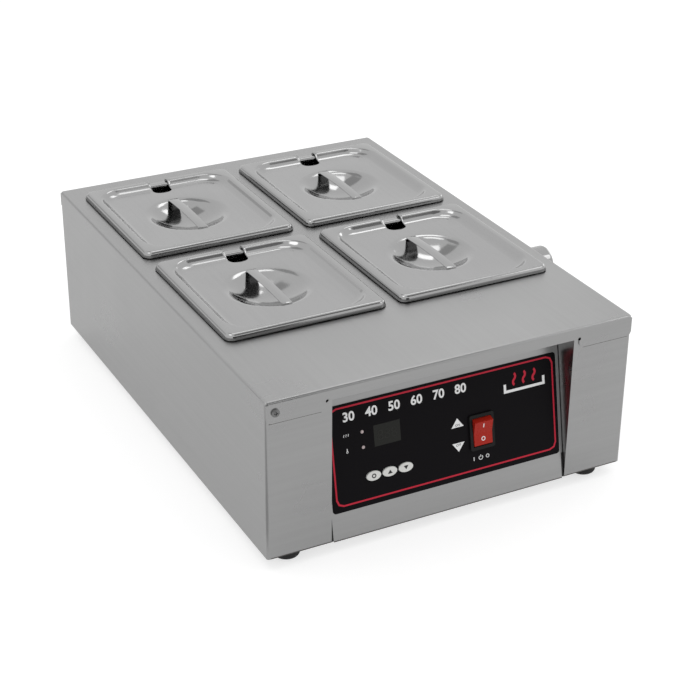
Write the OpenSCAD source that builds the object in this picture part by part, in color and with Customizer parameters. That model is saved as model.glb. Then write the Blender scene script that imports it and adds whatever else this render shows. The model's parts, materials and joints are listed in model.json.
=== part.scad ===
// Bench-top melting tank: a heated water bath in a folded steel housing,
// with four lidded gastronorm pans and a leaning control panel.
// Millimetres. +X is the right side seen from the front, +Y the back, +Z up.
// The origin lies on the bench, under the middle of the housing.

/* [Housing] */
// Width of the housing, side to side
body_w = 370; // [340:1:440]
// Depth of the housing, front to back
body_d = 515; // [460:1:600]
// Height of the housing, base plate to deck
body_h = 157; // [150:1:190]
// Thickness of the folded housing sheet
sheet_t = 1; // [0.8:0.1:1.5]
// Outside radius of the folds
bend_r = 2.5; // [2:0.5:4]
// Width of the two front corner strips
strip_w = 62.5; // [50:0.5:70]
// How far the strips' inner returns reach behind the panel's top
return_margin = 5; // [3:1:10]
// Height of the deck's front flange over the control panel
flange_h = 11.5; // [9:0.5:14]
// Height of the flange's ends, where they lap the strips
flange_end_h = 20.5; // [17:0.5:26]
// Distance from the strip's inner edge to the flange's tall end
lap_inset = 5; // [4:0.5:8]
// Rounding of the flange's lower outer corners
flange_corner_r = 5; // [3:0.5:6]
// Diameter of the relief holes in the flange's inner corners
relief_d = 3; // [2:0.5:4]
// Width of the rear corner strips and of the deck's rear flange
rear_lap = 16; // [14:1:20]
// Width of the walls' bottom returns
bottom_return = 16; // [14:1:18]
// Gap between the bottom returns' ends and the strips' faces
bottom_end = 5; // [4:0.5:12]
// Distance from the left wall to the flange's screw
flange_screw_in = 9; // [7:0.5:12]
// Depth of the flange's screw below the deck
flange_screw_drop = 10.5; // [8:0.5:14]

/* [Base and rear] */
// Thickness of the base plate
base_t = 1; // [0.8:0.1:2]
// How far the base plate's edge is set in from the walls
base_inset = 1.5; // [1:0.5:2.5]
// Thickness of the rear panel
rear_t = 1; // [0.8:0.1:2]
// Play round the rear panel inside the walls
rear_play = 1; // [0.5:0.5:2]
// Distance from the front and back to the outer base screws
base_screw_end = 72; // [50:1:110]
// Height of the lowest rear screws above the base plate
rear_screw_low = 18; // [12:1:30]
// Depth of the highest rear screws below the deck
rear_screw_high = 28; // [22:1:40]
// Length of a cooling slot
slot_l = 40; // [20:1:60]
// Width of a cooling slot
slot_w = 4; // [3:0.5:5]
// Distance between cooling slots
slot_pitch = 10; // [8:1:12]
// Cooling slots in one group
slot_count = 5; // [3:1:6]
// Distance from the middle to each group of slots
slot_side = 60; // [40:1:90]

/* [Feet] */
// Height of the rubber feet
foot_h = 12; // [10:1:20]
// Diameter of the rubber feet
foot_d = 25; // [20:1:32]
// Diameter of a foot's flat sole
sole_d = 17; // [14:1:18]
// Distance from the side walls to the feet's centres
foot_side = 27.5; // [24:0.5:36]
// Distance from the front and back to the feet's centres
foot_end = 21; // [19:0.5:36]

/* [Pans] */
// Height of a pan, floor to rim
pan_h = 100; // [65:1:104]
// Thickness of the pan sheet
pan_t = 0.8; // [0.6:0.1:1.2]
// Width of a pan's flat rim
pan_rim_w = 10; // [8:0.5:12]
// Height of a pan's turned-down lip
pan_lip_h = 4; // [3:0.5:6]
// Corner radius of a pan's rim
pan_rim_r = 13; // [9:1:16]
// Corner radius of a pan's wall below the rim
pan_wall_r = 27; // [24:1:32]
// How far a pan's wall leans in from rim to floor
pan_draft = 5; // [3:0.5:7]
// Radius between a pan's wall and floor
pan_floor_r = 12; // [8:1:14]
// Radius of the small folds on pans and lids
press_r = 1.6; // [1.4:0.1:2]

/* [Lids] */
// Thickness of the lid sheet
lid_t = 0.8; // [0.6:0.1:1.2]
// How far a lid's edge is set in from the pan's edge
lid_inset = 1.6; // [1.6:0.1:2.2]
// Height of a lid's turned-down edge
lid_skirt_h = 4.8; // [4:0.2:6]
// Corner radius of a lid
lid_corner_r = 11; // [8:1:14]
// Width of a lid's flat rim
lid_rim_w = 9.5; // [9:0.5:12]
// Depth of a lid's sunken panel below its rim
lid_recess_h = 8; // [6:0.5:9]
// Width of the slope between a lid's rim and panel
lid_slope_w = 5; // [4.5:0.5:6]
// Corner radius of the sunken panel's upper edge
lid_recess_r = 17; // [14:1:20]
// Diameter of the finger dish
dish_d = 76; // [60:1:84]
// Depth of the finger dish
dish_h = 17; // [12:1:20]
// Width of the handle strip
handle_w = 12; // [9:0.5:16]
// Thickness of the handle strip
handle_t = 1.2; // [1:0.1:2]
// Rise of the handle strip at its middle
handle_rise = 1.6; // [1:0.1:4]
// Length of the handle strip's welded ends beyond the dish
handle_seat = 3; // [2:0.5:8]
// Width of the ladle notch
notch_w = 20; // [14:0.5:26]
// Length of the ladle notch from the lid's back edge
notch_l = 23; // [19:0.5:26]
// Corner radius of the ladle notch
notch_r = 7; // [3:0.5:7]

/* [Layout] */
// Width of the deck beside the pans' rims
deck_side = 16.25; // [15:0.25:24]
// Depth of the deck in front of the pans' rims
deck_front = 113.5; // [108:0.5:130]
// Depth of the deck behind the pans' rims
deck_back = 29.5; // [28:0.5:45]
// Gap between the pans' rims, side to side
pan_gap_x = 13.5; // [10:0.5:18]
// Gap between the pans' rims, front to back
pan_gap_y = 20; // [12:0.5:24]
// Play between a pan's wall and its cut-out in the deck
well_play = 3; // [2:0.5:4]

/* [Water bath] */
// Thickness of the bath's sheet
bath_t = 1; // [0.8:0.1:1.5]
// Room between the deck's cut-outs and the bath's walls
bath_margin = 5; // [3:0.5:7]
// Corner radius inside the bath
bath_r = 14; // [8:1:20]
// Width of the bath's flange under the deck
bath_flange = 8; // [6:0.5:9]
// Room between the pans' floors and the bath's floor
water_gap = 24; // [20:1:28]
// Diameter of the heating rod
rod_d = 8; // [6:0.5:10]
// Height of the heating rod's middle above the bath's floor
rod_lift = 11; // [8:0.5:13]
// Distance between the legs of the heating rod
leg_pitch = 56; // [50:1:70]
// How far the heating rod stays from the bath's end walls
rod_end_gap = 40; // [30:1:80]
// How far the rod's ends stand out of the bath's front wall
rod_tail = 26; // [22:1:34]
// Diameter of the water probe
probe_d = 6; // [4:0.5:8]
// Length of the water probe inside the bath
probe_l = 70; // [40:1:120]
// Play between rods and the holes that they pass
rod_play = 0.1; // [0.05:0.05:0.2]

/* [Filler] */
// Outside diameter of the filler neck
neck_d = 24; // [20:0.5:26]
// Bore of the filler neck
neck_bore = 19; // [14:0.5:20]
// Distance from the bath's front end back to the filler
filler_front = 65; // [40:1:90]
// Depth of the filler's middle below the deck
filler_drop = 26; // [24:0.5:40]
// How far the filler cap stands out of the side wall
filler_out = 25; // [22:1:34]
// Diameter of the filler cap
cap_d = 35; // [32:0.5:40]
// Play between the filler cap and the neck that it is pushed onto
cap_play = 0.4; // [0.3:0.05:0.6]
// Thickness of the cap's sealing disc
seal_t = 2; // [1.5:0.5:3]
// Thickness of the filler's hexagon nut
nut_t = 5; // [4:0.5:7]

/* [Control panel] */
// Lean of the control panel from upright, in degrees
panel_tilt = 11; // [8:0.5:12]
// Thickness of the control panel
panel_t = 1.2; // [1:0.1:2]
// Gap between the control panel and the strips
panel_play = 0.6; // [0.3:0.1:1.2]
// Depth of the panel's folded top and bottom edges
panel_fold = 12; // [8:1:16]
// Gap from the control panel's side edges to the overlay
overlay_side = 3.4; // [2:0.1:8]
// Height of the overlay
overlay_h = 99.5; // [92:0.5:104]
// Thickness of the overlay
overlay_t = 0.5; // [0.3:0.1:0.8]
// Distance up the panel to the overlay's lower edge
overlay_up = 26; // [20:0.5:30]
// Corner radius of the overlay
overlay_r = 3; // [1:0.5:6]
// Play round pieces that pass the panel
pass_play = 0.3; // [0.3:0.05:0.4]

/* [Display] */
// Width of the display window
window_w = 26.5; // [22:0.5:32]
// Height of the display window
window_h = 20; // [16:0.5:22]
// Distance from the panel's middle to the window, towards the left
window_left = 59.5; // [54:0.5:62]
// Distance up the panel to the window's middle
window_up = 89; // [84:0.5:92]
// Lip of the window behind the panel
window_lip = 2; // [1.5:0.5:3]
// Distance from the panel's middle to the lamps, towards the left
lamp_left = 84; // [82:0.5:90]
// Distance up the panel to the lower lamp
lamp_up = 81.5; // [78:0.5:84]
// Distance between the two lamps
lamp_pitch = 14.5; // [12:0.5:18]
// Diameter of an indicator lamp
lamp_d = 3; // [2.5:0.5:4]

/* [Keys] */
// Width of an oval key
key_w = 14.6; // [13:0.1:14.8]
// Height of an oval key
key_h = 9; // [7:0.1:10]
// Distance between the keys
key_pitch = 16.2; // [16.1:0.1:18]
// Distance from the panel's middle to the middle key, towards the left
keys_left = 60; // [58:0.5:64]
// Distance up the panel to the keys
keys_up = 52.7; // [50:0.1:56]
// How far a key stands out of the overlay
key_out = 0.9; // [0.8:0.1:1.5]
// Travel of a key
key_travel = 0.6; // [0.4:0.1:0.8]
// Overlap of a key's lips behind the panel
key_lip = 2; // [1.5:0.1:2.5]

/* [Switch] */
// Width of the rocker's bezel
bezel_w = 25.5; // [25:0.5:30]
// Height of the rocker's bezel
bezel_h = 34; // [33:0.5:38]
// Thickness of the rocker's bezel
bezel_t = 2; // [1.5:0.1:3]
// Width of the rocker's paddle
paddle_w = 19; // [16:0.5:20]
// Reach of the paddle from its pivot to each end
paddle_reach = 13.5; // [12:0.1:13.8]
// Play between the paddle and its frame
paddle_play = 0.4; // [0.3:0.05:0.6]
// Wall of the switch's body round the paddle
switch_wall = 1; // [0.8:0.1:1.5]
// Depth of the switch's body behind the panel
switch_depth = 24; // [20:1:30]
// Throw of the rocker between off and on, in degrees
throw_angle = 16; // [12:1:18]
// Distance of the rocker's pivot behind the bezel's face
pivot_in = 4; // [3.5:0.1:4.5]
// Diameter of the rocker's pivot pins
pivot_d = 3; // [2:0.1:3.2]
// Distance from the panel's middle to the switch, towards the right
switch_right = 36; // [34:0.5:60]
// Distance up the panel to the switch's middle
switch_up = 68; // [62:0.5:70]

/* [Electrics] */
// Width of the control board
board_w = 112; // [104:1:112]
// Height of the control board
board_h = 70; // [66:1:74]
// Thickness of the control board
board_t = 1.6; // [1.2:0.1:2]
// Room between the panel and the control board
board_gap = 15; // [13:0.5:20]
// Distance from the panel's middle to the board's middle, towards the left
board_left = 46; // [44:0.5:48]
// Distance up the panel to the board's middle
board_up = 74; // [72:0.5:76]
// Diameter of the board's stand-offs
standoff_d = 6; // [5:0.5:7]
// Diameter of the cord gland's bore
cord_bore = 8.5; // [7:0.5:10]
// Distance across the flats of the cord gland
gland_flats = 24; // [22:1:28]
// Diameter of the cord gland's stem
gland_d = 20; // [18:0.5:21]
// Height of the cord gland above the base plate
gland_up = 30; // [26:1:60]
// Distance from the left wall to the cord gland
gland_side = 50; // [46:1:80]
// Width of the power relay
relay_w = 60; // [50:1:70]
// Depth of the power relay
relay_d = 45; // [40:1:50]
// Height of the power relay
relay_h = 24; // [20:1:30]
// Width of the terminal block
block_w = 48; // [40:1:60]
// Depth of the terminal block
block_d = 22; // [20:1:30]
// Height of the terminal block
block_h = 18; // [16:1:24]
// Distance from the middle to the relay and to the terminal block
gear_side = 92; // [80:1:110]
// Distance from the front strips back to the relay and the terminal block
gear_back = 58; // [52:1:66]

/* [Screws] */
// Diameter of the screws
screw_d = 4; // [3:0.5:4]
// Diameter of the screw heads
head_d = 7.5; // [7:0.5:8]
// Height of the screw heads
head_h = 2.2; // [1.8:0.1:2.6]
// Length of the screws below their heads
screw_l = 8; // [7:0.5:12]
// Play between a screw and its hole
screw_play = 0.1; // [0.05:0.05:0.2]
// Distance across the flats of the foot screws' nuts
foot_nut_flats = 7; // [6:0.5:8]
// Thickness of the foot screws' nuts
foot_nut_t = 3; // [2:0.5:3]
// Thickness of rubber under a foot screw's head
foot_web = 4; // [3:0.5:4]

/* [Hidden] */
$fn = 64;
WELLS = ["front_left", "front_right", "rear_left", "rear_right"];

steel = "gainsboro";
dark = "dimgray";
// How far a cutting shape runs past the face that it cuts
cut = 1;
// Air between pieces that face each other without touching
air = 0.2;

// Levels and faces of the housing
base_top = foot_h + base_t;
deck_z = foot_h + body_h;
deck_under = deck_z - sheet_t;
front_y = -body_d / 2;
strip_y = front_y + sheet_t;
ring_d = -2 * strip_y;
strip_back = strip_y + sheet_t;
open_hw = body_w / 2 - strip_w;
flange_hw = body_w / 2 - sheet_t / 2;
wall_in = body_w / 2 - sheet_t;
return_d = (deck_under - foot_h) * tan(panel_tilt) + return_margin;

// Pans and lids; the pans fill the deck between its margins
pan_w = (body_w - 2 * deck_side - pan_gap_x) / 2;
pan_d = (body_d - deck_front - deck_back - pan_gap_y) / 2;
pitch_x = pan_w + pan_gap_x;
pitch_y = pan_d + pan_gap_y;
pans_y = (deck_front - deck_back) / 2;
lid_z = deck_z + pan_lip_h;
lid_top = lid_z + lid_skirt_h;
lid_panel_z = lid_top - lid_recess_h;
lid_w = pan_w - 2 * lid_inset;
lid_d = pan_d - 2 * lid_inset;
pan_in_w = pan_w - 2 * pan_rim_w;
pan_in_d = pan_d - 2 * pan_rim_w;
well_w = pan_in_w + 2 * well_play;
well_d = pan_in_d + 2 * well_play;
// Straight run that a pressed profile adds past its last bend
path_end = 0.4;

// Water bath
bath_w = pitch_x + well_w + 2 * bath_margin;
bath_d = pitch_y + well_d + 2 * bath_margin;
bath_h = pan_h - pan_lip_h + water_gap;
bath_floor = deck_under + sheet_t - bath_h;
bath_front = pans_y - bath_d / 2;
rod_z = bath_floor + rod_lift;
rod_x = 1.5 * leg_pitch;
rod_bend = leg_pitch / 2;
rod_front = bath_front + rod_end_gap;
rod_back = pans_y + bath_d / 2 - rod_end_gap;
support_t = 2;
probe_lift = 24;
probe_z = rod_z + probe_lift;
nut_wall = 4;
bath_nut_t = 6;
thermostat_x = leg_pitch;
thermostat_up = 60;
thermostat_z = bath_floor + thermostat_up;

// Filler
filler_y = bath_front + filler_front;
filler_z = deck_z - filler_drop;
neck_in = bath_w / 2;
cap_end_t = 4;
neck_out = body_w / 2 + filler_out - seal_t - cap_end_t;
cap_wall_in = neck_d / 2 + cap_play;
cap_from = body_w / 2 + nut_t + cap_play;
cap_round = 4;

// Control panel
panel_hw = open_hw - panel_play;
overlay_w = 2 * (panel_hw - overlay_side);
panel_back = -panel_t;
board_front = panel_back - board_gap;
window_lip_t = 1.2;
window_back = panel_back - window_lip_t;
display_w = window_w + 2 * window_lip;
display_h = window_h + 2 * window_lip;
key_lip_t = 1.5;
key_back = panel_back - key_lip_t;
key_stem_d = 5;
key_stem_gap = 5;
key_in = board_front + key_stem_gap;
hole_play = 0.15;

// Switch
bezel_face = overlay_t + bezel_t;
pivot_z = bezel_face - pivot_in;
switch_w = paddle_w + 2 * paddle_play + 2 * switch_wall;
switch_h = 2 * paddle_reach + 2 * paddle_play + 2 * switch_wall;
paddle_below = 5;
paddle_room = 2;
pocket_back = pivot_z - paddle_below - paddle_room;
pin_play = 0.05;
pin_out = switch_wall - air;
blade_t = 0.8;
blade_w = 6;
blade_l = 8;

// Places of the screws
base_screw_x = body_w / 2 - bottom_return / 2 - sheet_t / 2;
base_screw_y = [-1, 0, 1] * (body_d / 2 - base_screw_end);
rear_screw_x = body_w / 2 - rear_lap / 2 - sheet_t / 2;
rear_screw_low_z = base_top + rear_screw_low;
rear_screw_high_z = deck_z - rear_screw_high;
rear_screw_z = [rear_screw_low_z, (rear_screw_low_z + rear_screw_high_z) / 2, rear_screw_high_z];
flange_screw_x = -(body_w / 2 - flange_screw_in);
flange_screw_z = deck_z - flange_screw_drop;
foot_x = body_w / 2 - foot_side;
foot_y = body_d / 2 - foot_end;

// Points along an arc, given its centre, radius and two angles
function arc(c, r, a0, a1, n = 5) =
    [for (i = [0:n]) c + r * [cos(a0 + (a1 - a0) * i / n), sin(a0 + (a1 - a0) * i / n)]];

// Points of a bend down and a bend out again, joined by a straight slope that touches both
function step_down(c0, r0, c1, r1, n) =
    let (
        v = c1 - c0,
        fall = atan2(-v[1], v[0]) + asin((r0 + r1) / norm(v))
    )
    concat(arc(c0, r0, 90, 90 - fall), arc(c1, r1, 270 - fall, 270, n));

// Direction of a path at one of its points
function along(p, i) =
    let (v = p[min(i + 1, len(p) - 1)] - p[max(i - 1, 0)]) v / norm(v);

// Outline of a sheet of thickness t on the left side of a path
function sheet_outline(p, t) = concat(
    p,
    [for (i = [len(p) - 1:-1:0]) p[i] + t * [-along(p, i)[1], along(p, i)[0]]]
);

// Left or right, and front or rear, of a pan's place
function side_of(w) = (w == "front_left" || w == "rear_left") ? -1 : 1;
function row_of(w) = (w == "front_left" || w == "front_right") ? -1 : 1;

module at_well(w) {
    translate([side_of(w) * pitch_x / 2, pans_y + row_of(w) * pitch_y / 2, 0])
        children();
}

// Puts a shape drawn in the panel's plane, with Z out of its face, in place
module on_panel() {
    translate([0, strip_y, foot_h])
        rotate([90 - panel_tilt, 0, 0])
            children();
}

// Places a shape with its length along +X
module along_x() {
    rotate([0, 90, 0])
        children();
}

// Places a shape with its length along -Y
module along_front() {
    rotate([90, 0, 0])
        children();
}

module rounded_rect(w, d, r) {
    square([w - 2 * r, d], center = true);
    square([w, d - 2 * r], center = true);
    for (sx = [-1, 1], sy = [-1, 1])
        translate([sx * (w / 2 - r), sy * (d / 2 - r)])
            circle(r);
}

module oval(w, h) {
    square([w - h, h], center = true);
    for (s = [-1, 1])
        translate([s * (w - h) / 2, 0])
            circle(h / 2);
}

module hexagon(flats) {
    circle(flats / sqrt(3), $fn = 6);
}

// Carries a profile of [inset, height] points round a rounded rectangle
module swept_frame(w, d, r, points) {
    for (turn = [0, 180])
        rotate(turn) {
            translate([0, d / 2 - r, 0])
                along_front()
                    linear_extrude(d - 2 * r)
                        polygon([for (p = points) [w / 2 - p[0], p[1]]]);
            rotate(90)
                translate([0, w / 2 - r, 0])
                    along_front()
                        linear_extrude(w - 2 * r)
                            polygon([for (p = points) [d / 2 - p[0], p[1]]]);
        }
    for (i = [0:3])
        translate([[1, -1, -1, 1][i] * (w / 2 - r), [1, 1, -1, -1][i] * (d / 2 - r), 0])
            rotate(90 * i)
                rotate_extrude(angle = 90)
                    polygon([for (p = points) [r - p[0], p[1]]]);
}

// A quarter-round fold of the housing sheet, extruded upwards
module fold(length) {
    linear_extrude(length)
        intersection() {
            difference() {
                circle(bend_r);
                circle(bend_r - sheet_t);
            }
            square(bend_r);
        }
}

module slots(count) {
    for (i = [0:count - 1])
        translate([0, (i - (count - 1) / 2) * slot_pitch])
            oval(slot_l, slot_w);
}

// A pan-head screw with its head's underside at zero and its shank downwards
module screw(length) {
    slot = 1;
    difference() {
        union() {
            rotate_extrude()
                intersection() {
                    translate([0, head_h - head_d])
                        circle(head_d);
                    square([head_d / 2, head_h]);
                }
            translate([0, 0, -length])
                cylinder(h = length, d = screw_d);
        }
        for (turn = [0, 90])
            rotate(turn)
                translate([-head_d / 4, -slot / 2, head_h - slot])
                    cube([head_d / 2, slot, slot + cut]);
    }
}

// The front flange's outline, with the deck's top at zero
module flange_outline() {
    end_w = flange_hw - open_hw - lap_inset;
    translate([-flange_hw, -flange_h])
        square([2 * flange_hw, flange_h - bend_r]);
    for (s = [-1, 1])
        translate([s * (flange_hw - end_w / 2), 0]) {
            translate([-end_w / 2, -flange_end_h + flange_corner_r])
                square([end_w, flange_end_h - flange_corner_r - bend_r]);
            translate([-end_w / 2 + flange_corner_r, -flange_end_h])
                square([end_w - 2 * flange_corner_r, flange_corner_r]);
            for (e = [-1, 1])
                translate([e * (end_w / 2 - flange_corner_r), -flange_end_h + flange_corner_r])
                    circle(flange_corner_r);
        }
}

// Side walls with their front and rear strips, seen from above
module wall_plan() {
    difference() {
        rounded_rect(body_w, ring_d, bend_r);
        rounded_rect(body_w - 2 * sheet_t, ring_d - 2 * sheet_t, bend_r - sheet_t);
        translate([-open_hw, -ring_d])
            square([2 * open_hw, ring_d]);
        translate([-(body_w / 2 - rear_lap), 0])
            square([body_w - 2 * rear_lap, ring_d]);
    }
}

// The right front and rear strips with the front strip's inner return
module strips() {
    high = deck_under - base_top;
    translate([open_hw, strip_y, base_top]) {
        cube([strip_w - bend_r, sheet_t, high]);
        cube([sheet_t, return_d, high]);
    }
    mirror([0, 1, 0])
        translate([body_w / 2 - rear_lap, strip_y, base_top])
            cube([rear_lap - bend_r, sheet_t, high]);
}

module housing_shell() {
    deck_hw = body_w / 2 - bend_r;
    color(steel)
        difference() {
            union() {
                translate([0, 0, base_top])
                    linear_extrude(deck_z - bend_r - base_top)
                        wall_plan();
                translate([-deck_hw, front_y + bend_r, deck_under])
                    cube([2 * deck_hw, body_d - 2 * bend_r, sheet_t]);
                for (side = [0, 1])
                    mirror([side, 0, 0]) {
                        strips();
                        translate([deck_hw, ring_d / 2 - bend_r, deck_z - bend_r])
                            along_front()
                                fold(ring_d - 2 * bend_r);
                        for (end = [0, 1])
                            mirror([0, end, 0])
                                translate([deck_hw, strip_y + bend_r, deck_z - bend_r])
                                    sphere(bend_r);
                        translate([wall_in - bottom_return + sheet_t, strip_y + bottom_end, base_top])
                            cube([bottom_return - sheet_t / 2, ring_d - 2 * bottom_end, sheet_t]);
                    }
                for (end = [0, 1])
                    mirror([0, end, 0])
                        translate([deck_hw, front_y + bend_r, deck_z - bend_r])
                            rotate([90, 0, -90])
                                fold(2 * deck_hw);
                translate([0, strip_y, deck_z])
                    along_front()
                        linear_extrude(sheet_t)
                            flange_outline();
                translate([-flange_hw, -strip_y, deck_z - rear_lap])
                    cube([2 * flange_hw, sheet_t, rear_lap - bend_r]);
            }
            for (w = WELLS)
                at_well(w)
                    translate([0, 0, deck_under - cut])
                        linear_extrude(sheet_t + 2 * cut)
                            rounded_rect(well_w, well_d, pan_wall_r + well_play);
            for (s = [-1, 1])
                translate([s * (open_hw + lap_inset), strip_back + cut, deck_z - flange_h])
                    along_front()
                        cylinder(h = 2 * sheet_t + 2 * cut, d = relief_d);
            translate([wall_in - cut, filler_y, filler_z])
                along_x()
                    cylinder(h = sheet_t + 2 * cut, d = neck_d + 2 * rod_play);
            translate([flange_screw_x, strip_back + cut, flange_screw_z])
                along_front()
                    cylinder(h = 2 * sheet_t + 2 * cut, d = screw_d + 2 * screw_play);
            for (s = [-1, 1], y = base_screw_y)
                translate([s * base_screw_x, y, base_top - cut])
                    cylinder(h = sheet_t + 2 * cut, d = screw_d + 2 * screw_play);
            for (s = [-1, 1], z = rear_screw_z)
                translate([s * rear_screw_x, ring_d / 2 + cut, z])
                    along_front()
                        cylinder(h = sheet_t + 2 * cut, d = screw_d + 2 * screw_play);
        }
}

module base_plate() {
    color(steel)
        translate([0, 0, foot_h])
            linear_extrude(base_t)
                difference() {
                    square([body_w - 2 * base_inset, ring_d - 2 * base_inset], center = true);
                    for (sx = [-1, 1], sy = [-1, 1])
                        translate([sx * foot_x, sy * foot_y])
                            circle(d = screw_d + 2 * screw_play);
                    for (s = [-1, 1], y = base_screw_y)
                        translate([s * base_screw_x, y])
                            circle(d = screw_d + 2 * screw_play);
                    for (s = [-1, 1])
                        translate([s * slot_side, pans_y])
                            slots(slot_count);
                }
}

module rear_panel() {
    low = base_top + sheet_t + rear_play;
    high = deck_z - 2 * bend_r - rear_play;
    half_w = body_w / 2 - bend_r - rear_play;
    color(steel)
        translate([0, ring_d / 2 - sheet_t, (low + high) / 2])
            along_front()
                linear_extrude(rear_t)
                    difference() {
                        square([2 * half_w, high - low], center = true);
                        for (s = [-1, 1], z = rear_screw_z)
                            translate([s * rear_screw_x, z - (low + high) / 2])
                                circle(d = screw_d + 2 * screw_play);
                        translate([gland_side - body_w / 2, base_top + gland_up - (low + high) / 2])
                            circle(d = gland_d + 2 * rod_play);
                        for (s = [-1, 1])
                            translate([s * slot_side, 0])
                                slots(slot_count);
                    }
}

// Openings that go through both the control panel and its overlay
module panel_openings(play) {
    translate([-window_left, window_up])
        square([window_w + 2 * hole_play, window_h + 2 * hole_play], center = true);
    for (i = [-1:1])
        translate([-keys_left + i * key_pitch, keys_up])
            oval(key_w + 2 * play, key_h + 2 * play);
    for (i = [0, 1])
        translate([-lamp_left, lamp_up + i * lamp_pitch])
            circle(d = lamp_d + 2 * hole_play);
    translate([switch_right, switch_up])
        square([switch_w + 2 * hole_play, switch_h + 2 * hole_play], center = true);
}

// Depth of the panel's front face at a height above the base plate's underside
function face_y(z) = strip_y + (z - foot_h) * tan(panel_tilt);

// A leaning sheet with its top and bottom edges folded back, drawn from the side
module control_panel() {
    sheet_y = panel_t / cos(panel_tilt);
    top = deck_under;
    low = base_top;
    color(steel)
        difference() {
            translate([-panel_hw, 0, 0])
                rotate([90, 0, 90])
                    linear_extrude(2 * panel_hw)
                        polygon([
                            [face_y(top) + panel_fold, top],
                            [face_y(top), top],
                            [face_y(low), low],
                            [face_y(low) + panel_fold, low],
                            [face_y(low) + panel_fold, low + panel_t],
                            [face_y(low + panel_t) + sheet_y, low + panel_t],
                            [face_y(top - panel_t) + sheet_y, top - panel_t],
                            [face_y(top) + panel_fold, top - panel_t]
                        ]);
            on_panel()
                translate([0, 0, panel_back - cut])
                    linear_extrude(panel_t + 2 * cut)
                        panel_openings(pass_play);
        }
}

module panel_overlay() {
    color("black")
        on_panel()
            linear_extrude(overlay_t)
                difference() {
                    translate([0, overlay_up + overlay_h / 2])
                        rounded_rect(overlay_w, overlay_h, overlay_r);
                    panel_openings(pass_play);
                }
}

module display_window() {
    color("darkslategray")
        on_panel()
            translate([-window_left, window_up, window_back]) {
                linear_extrude(overlay_t - window_back)
                    square([window_w, window_h], center = true);
                linear_extrude(window_lip_t)
                    square([display_w, display_h], center = true);
            }
}

module display_module() {
    color("ivory")
        on_panel()
            translate([-window_left, window_up, board_front])
                linear_extrude(window_back - air - board_front)
                    square([display_w, display_h], center = true);
}

// Puts a shape at each of the board's four fixing points, on its front face
module at_standoffs() {
    for (sx = [-1, 1], sy = [-1, 1]) {
        x = -board_left + sx * (board_w / 2 - standoff_d);
        y = board_up + sy * (board_h / 2 - standoff_d);
        translate([x, y, board_front])
            children();
    }
}

// The board with the key switches and two small parts on its front
module control_board() {
    switch_side = 6;
    switch_t = 3;
    plunger_d = 3.5;
    plunger_l = key_stem_gap - key_travel - switch_t - air;
    can_d = 8;
    can_h = 9;
    plug_size = [14, 10, 8];
    parts_x = -board_left + board_w / 4;
    color("seagreen")
        on_panel() {
            difference() {
                translate([-board_left - board_w / 2, board_up - board_h / 2, board_front - board_t])
                    cube([board_w, board_h, board_t]);
                at_standoffs()
                    translate([0, 0, -board_t - cut])
                        cylinder(h = board_t + 2 * cut, d = standoff_d / 2);
            }
            for (i = [-1:1])
                translate([-keys_left + i * key_pitch, keys_up, board_front]) {
                    translate([-switch_side / 2, -switch_side / 2, 0])
                        cube([switch_side, switch_side, switch_t]);
                    translate([0, 0, switch_t])
                        cylinder(h = plunger_l, d = plunger_d);
                }
            translate([parts_x, board_up, board_front])
                cylinder(h = can_h, d = can_d);
            translate([parts_x - can_d / 2, board_up + 1.5 * can_d, board_front])
                cube(plug_size);
        }
}

module board_standoffs() {
    color("goldenrod")
        on_panel()
            at_standoffs()
                cylinder(h = board_gap, d = standoff_d);
}

// An indicator lamp with its light pipe back to the board
module lamp(i) {
    dome_h = 0.6;
    color("firebrick")
        on_panel()
            translate([-lamp_left, lamp_up + i * lamp_pitch, board_front]) {
                cylinder(h = overlay_t - board_front, d = lamp_d);
                translate([0, 0, overlay_t - board_front])
                    intersection() {
                        translate([0, 0, dome_h - lamp_d])
                            sphere(lamp_d);
                        cylinder(h = lamp_d, d = lamp_d);
                    }
            }
}

module key(i) {
    color("whitesmoke")
        on_panel()
            translate([-keys_left + i * key_pitch, keys_up, 0]) {
                translate([0, 0, key_back])
                    linear_extrude(overlay_t + key_out - key_back)
                        oval(key_w, key_h);
                translate([0, 0, key_back])
                    linear_extrude(panel_back - key_back)
                        square([key_h, key_h + 2 * key_lip], center = true);
                translate([0, 0, key_in])
                    cylinder(h = key_back - key_in, d = key_stem_d);
            }
}

module rocker_frame() {
    bezel_r = 2;
    color("black")
        on_panel()
            translate([switch_right, switch_up, 0])
                difference() {
                    union() {
                        translate([0, 0, overlay_t])
                            linear_extrude(bezel_t)
                                rounded_rect(bezel_w, bezel_h, bezel_r);
                        translate([0, 0, panel_back - switch_depth])
                            linear_extrude(switch_depth - panel_back + overlay_t)
                                square([switch_w, switch_h], center = true);
                        for (sx = [-1, 1], sy = [-1, 1])
                            translate([sx * switch_w / 4, sy * switch_h / 4, panel_back - switch_depth])
                                cube([blade_t, blade_w, 2 * blade_l], center = true);
                    }
                    translate([0, 0, pocket_back])
                        linear_extrude(bezel_face - pocket_back + cut)
                            square([switch_w - 2 * switch_wall, switch_h - 2 * switch_wall], center = true);
                    translate([-switch_w / 2 - cut, 0, pivot_z])
                        along_x()
                            cylinder(h = switch_w + 2 * cut, d = pivot_d + 2 * pin_play);
                }
}

// The paddle's section: two faces that meet at the middle, on a round underside
module paddle_section() {
    half = throw_angle / 2;
    face_out = 1;
    rise = pivot_in + face_out;
    reach = 2 * paddle_reach;
    rotate(half)
        intersection() {
            circle(paddle_reach);
            polygon([
                [-reach, rise + reach * tan(half)],
                [0, rise],
                [reach, rise + reach * tan(half)],
                [reach, -paddle_below],
                [-reach, -paddle_below]
            ]);
        }
}

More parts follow.
